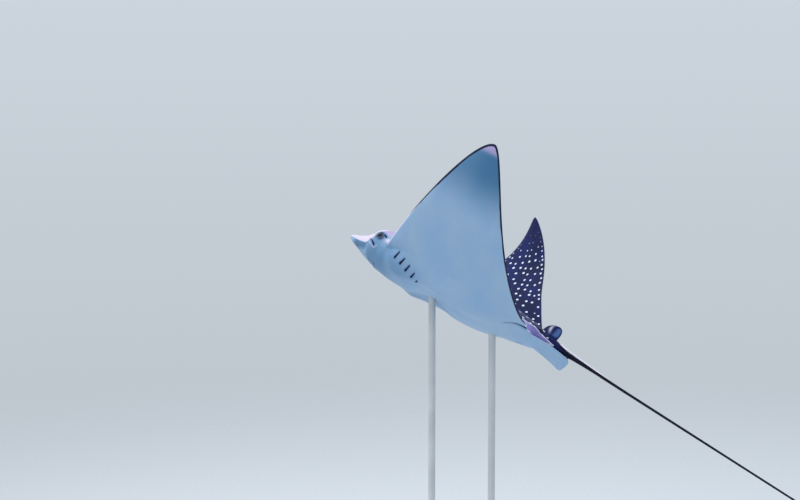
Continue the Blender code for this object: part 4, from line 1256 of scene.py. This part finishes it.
def hide_finish():
    """Smooth wet skin: navy with round white spots above, pale beneath, a lilac painted sheen on
    the flanks, and painted shade in every opening and round it."""
    f = Finish("hide_finish", Coat_Weight=0.03, Coat_Roughness=0.30, Specular_IOR_Level=0.16)
    flat, tone = f.attribute("flat"), f.attribute("tone")
    rows, mark = f.attribute("rows"), f.attribute("mark")
    x, y, z = f.parts(flat)
    side = f.math("ABSOLUTE", y)
    mirrored = f.node("CombineXYZ", {0: x, 1: side, 2: z})[0]
    soft, fine = f.noise(flat, 0.090, 3.0), f.noise(flat, 0.006, 2.0)

    upward = f.step(f.parts(tone)[0], -0.6, 0.6)
    # Painted shade in the openings: dark in each of them, and a bluish grey for a little way round.
    opening = gap_from(f, mirrored, GILLS + [MOUTH, NOSTRIL, NOTCH, SPIRACLE, WING_CREASE, VENT])
    skin = f.coats(belly_paint(f, flat, mirrored, tone, mark, soft, fine),
                   (upward, back_paint(f, flat, rows, mark, soft, fine)),
                   flank_sheen_paint(f, flat, mirrored, soft),
                   (f.times(f.step(opening, 0.0080, 0.0), 0.30), paint(84, 114, 162)),
                   (f.step(opening, 0.0009, -0.0006), paint(20, 32, 64)))

    pleats = f.math("SINE", f.times(side, 2.0 * math.pi / PLEAT_SPACING))
    height = f.math("ADD", f.times(f.noise(flat, 0.0035, 2.0), 0.5), f.times(pleats, 0.10))
    rough = f.math("MAXIMUM", f.scaled(fine, 0.3, 0.7, 0.38, 0.48), f.step(opening, 0.0040, 0.0))
    return f.cover(Base_Color=skin, Roughness=rough, Normal=f.bump(height, 0.0006, 0.5))


def eye_finish():
    """A dark eye: black crescent pupil, bronze brown iris with a mottled rim, grey white."""
    f = Finish("eye_finish", 0.08, Coat_Weight=0.5, Coat_Roughness=0.03, Specular_IOR_Level=0.2)
    across, high, ahead = f.parts(f.attribute("gaze"))
    lidded = f.math("SUBTRACT", high, f.times(across, across, 0.9))
    wide = f.times(across, 0.62)
    pupil = f.math("SQRT", f.math("ADD", f.times(wide, wide), f.times(lidded, lidded)))
    ring = f.math("SQRT", f.math("ADD", f.times(across, across), f.times(high, high)))
    flecks = f.noise(f.attribute("gaze"), 0.12, 3.0)
    colour = f.coats(paint(16, 18, 26), (f.step(flecks, 0.35, 0.7), paint(62, 52, 46)),
                     (f.step(ring, 0.50, 0.66), paint(12, 14, 20)),
                     (f.step(pupil, 0.34, 0.28), paint(6, 7, 10)),
                     (f.step(ring, 0.72, 0.80), paint(40, 46, 66)),
                     (f.step(ahead, 0.05, -0.05), paint(40, 46, 66)))
    return f.cover(Base_Color=colour)


def sting_finish(name, light, dark):
    """Tooth-like spine: pale enamel, darker at its root, and darker down the middle of each face,
    painted shade of the groove along its top.
    """
    f = Finish(name, 0.34, Coat_Weight=0.35, Coat_Roughness=0.2)
    along, across, share = f.parts(f.attribute("blade"))
    grain = f.noise(f.node("CombineXYZ", {0: f.times(along, 0.15), 1: f.times(across, 0.006)})[0],
                    0.0016, 2.0)
    # Darker down the middle of each face: painted shade of the groove along the top.
    middle = f.step(f.math("ABSOLUTE", across), 0.34, 0.10)
    colour = f.coats(light, (f.step(grain, 0.3, 0.7), dark), (f.times(middle, 0.55), dark),
                     (f.times(f.step(share, 0.10, 0.0), 0.6), dark))
    return f.cover(Base_Color=colour, Normal=f.bump(grain, 0.0004, 0.6))


def stand_finish():
    """Satin powder coat: light grey with a fine orange-peel and a faint change of tone."""
    f = Finish("stand_finish", Coat_Weight=0.15, Coat_Roughness=0.35)
    place = f.place()
    peel = f.noise(place, 0.0014, 2.0)
    cloud = f.noise(place, 0.11, 3.0)
    colour = f.coats(paint(186, 189, 192), (f.step(cloud, 0.35, 0.7), paint(198, 201, 204)),
                     (f.times(f.step(peel, 0.55, 0.8), 0.25), paint(216, 218, 221)))
    rough = f.scaled(cloud, 0.35, 0.7, 0.38, 0.50)
    return f.cover(Base_Color=colour, Roughness=rough, Normal=f.bump(peel, 0.0003, 0.5))


# ---- studio

def floor():
    """A pale round floor that fades out with distance: rings r * (cos a, sin a) about a middle
    under the animal."""
    r = np.linspace(0.0, 1.0, FLOOR_RINGS + 1)[1:, None] ** 1.5 * FLOOR_RADIUS
    a = full_turn(FLOOR_SECTORS)[None, :]
    rings = stacked(r * np.cos(a), r * np.sin(a), 0.0)
    points = np.concatenate([rings.reshape(-1, 3), np.zeros((1, 3))]) + FLOOR_MIDDLE
    k = np.arange(FLOOR_SECTORS)
    n = (k + 1) % FLOOR_SECTORS
    near = FLOOR_SECTORS * np.arange(FLOOR_RINGS - 1)[:, None]
    far = near + FLOOR_SECTORS
    faces = [np.stack([near + k, far + k, far + n, near + n], -1).reshape(-1, 4),
             np.stack([np.full(FLOOR_SECTORS, len(points) - 1), k, n], -1)]
    made = make_mesh("floor", points, faces)
    f = Finish("floor_finish", 0.7)
    place = f.place()
    speck = f.noise(place, 0.02, 3.0)
    colour = f.mix(f.step(speck, 0.3, 0.7), paint(226, 229, 232), paint(232, 235, 238))
    f.cover(Base_Color=colour)
    away = f.vector("LENGTH", f.vector("SUBTRACT", place, FLOOR_MIDDLE))
    clear = f.node("BsdfTransparent", {})[0]
    fade = f.step(away, FLOOR_FADE, 0.92 * FLOOR_RADIUS)
    shown = f.node("MixShader", {0: fade, 1: f.shader.outputs[0], 2: clear})[0]
    f.feed(f.tree.nodes["Material Output"].inputs["Surface"], shown)
    made.data.materials.append(f.material)


def lamp(name, place, aim, size, power, colour):
    """A round soft light at a place, facing another."""
    light = bpy.data.lights.new(name, "AREA")
    light.shape = "DISK"
    light.size = size
    light.energy = power
    light.color = colour
    made = bpy.data.objects.new(name, light)
    made.location = place
    made.rotation_euler = (Vector(aim) - Vector(place)).to_track_quat("-Z", "Y").to_euler()
    bpy.context.scene.collection.objects.link(made)


def studio():
    """Pale surroundings, a large soft key above the animal's left front, and a weak fill by the
    camera."""
    world = bpy.data.worlds.new("studio")
    w = Nodes(world)
    high = w.parts(w.node("TexCoord", {})["Generated"])[2]
    shade = w.mix(w.step(high, *SURROUND_RANGE), SURROUND_LOW, SURROUND_HIGH)
    w.feed(w.tree.nodes["Background"].inputs["Color"], shade)
    bpy.context.scene.world = world
    lamp("key", place=(-1.6, -1.2, 5.2), aim=(0.5, 0.0, 1.4), size=2.4, power=105.0,
         colour=(1.0, 0.98, 0.97))
    lamp("fill", place=(1.0, -5.0, 0.9), aim=(0.4, 0.0, 1.3), size=3.0, power=12.0,
         colour=(0.92, 0.96, 1.0))
    bpy.context.scene.view_settings.view_transform = "Standard"


def camera():
    """A long lens at the height of the animal's back, looking slightly down from its left and
    a little behind."""
    lens = bpy.data.cameras.new("camera")
    lens.lens = CAMERA_LENS
    lens.sensor_width = 36.0
    lens.clip_end = 100.0
    made = bpy.data.objects.new("camera", lens)
    made.location = CAMERA_PLACE
    made.rotation_euler = [math.radians(a) for a in CAMERA_TURN]
    bpy.context.scene.collection.objects.link(made)
    bpy.context.scene.camera = made


# ---- making it

def main():
    skin = whole_skin()
    skin.data.materials.append(hide_finish())
    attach(skin, "root")
    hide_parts("snout", "head", "trunk", "wing_left", "wing_right", "pelvic_fin_left",
                "pelvic_fin_right", "dorsal_fin", "tail_1", "tail_2", "tail_3", "tail_4")
    eyes = eye_finish()
    for side in SIDES:
        ball = eye(side)
        ball.data.materials.append(eyes)
        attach(ball, "root")
        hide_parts("eye_" + side)
    # The lower spine is the same pale enamel painted a darker blue grey, as painted shade.
    paints = {"upper": ("upper_spine_finish", paint(250, 242, 250), paint(228, 214, 230)),
              "lower": ("shaded_lower_spine_finish", paint(170, 188, 208), paint(116, 136, 160))}
    for which in STINGS:
        spine = sting(which)
        spine.data.materials.append(sting_finish(*paints[which]))
        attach(spine, "root")
        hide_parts("sting_" + which)
    coat = stand_finish()
    for name in ("stand_base", "stand_rod_front", "stand_rod_rear"):
        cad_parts[name].material_slots[0].material = coat
    floor()
    studio()
    camera()


main()
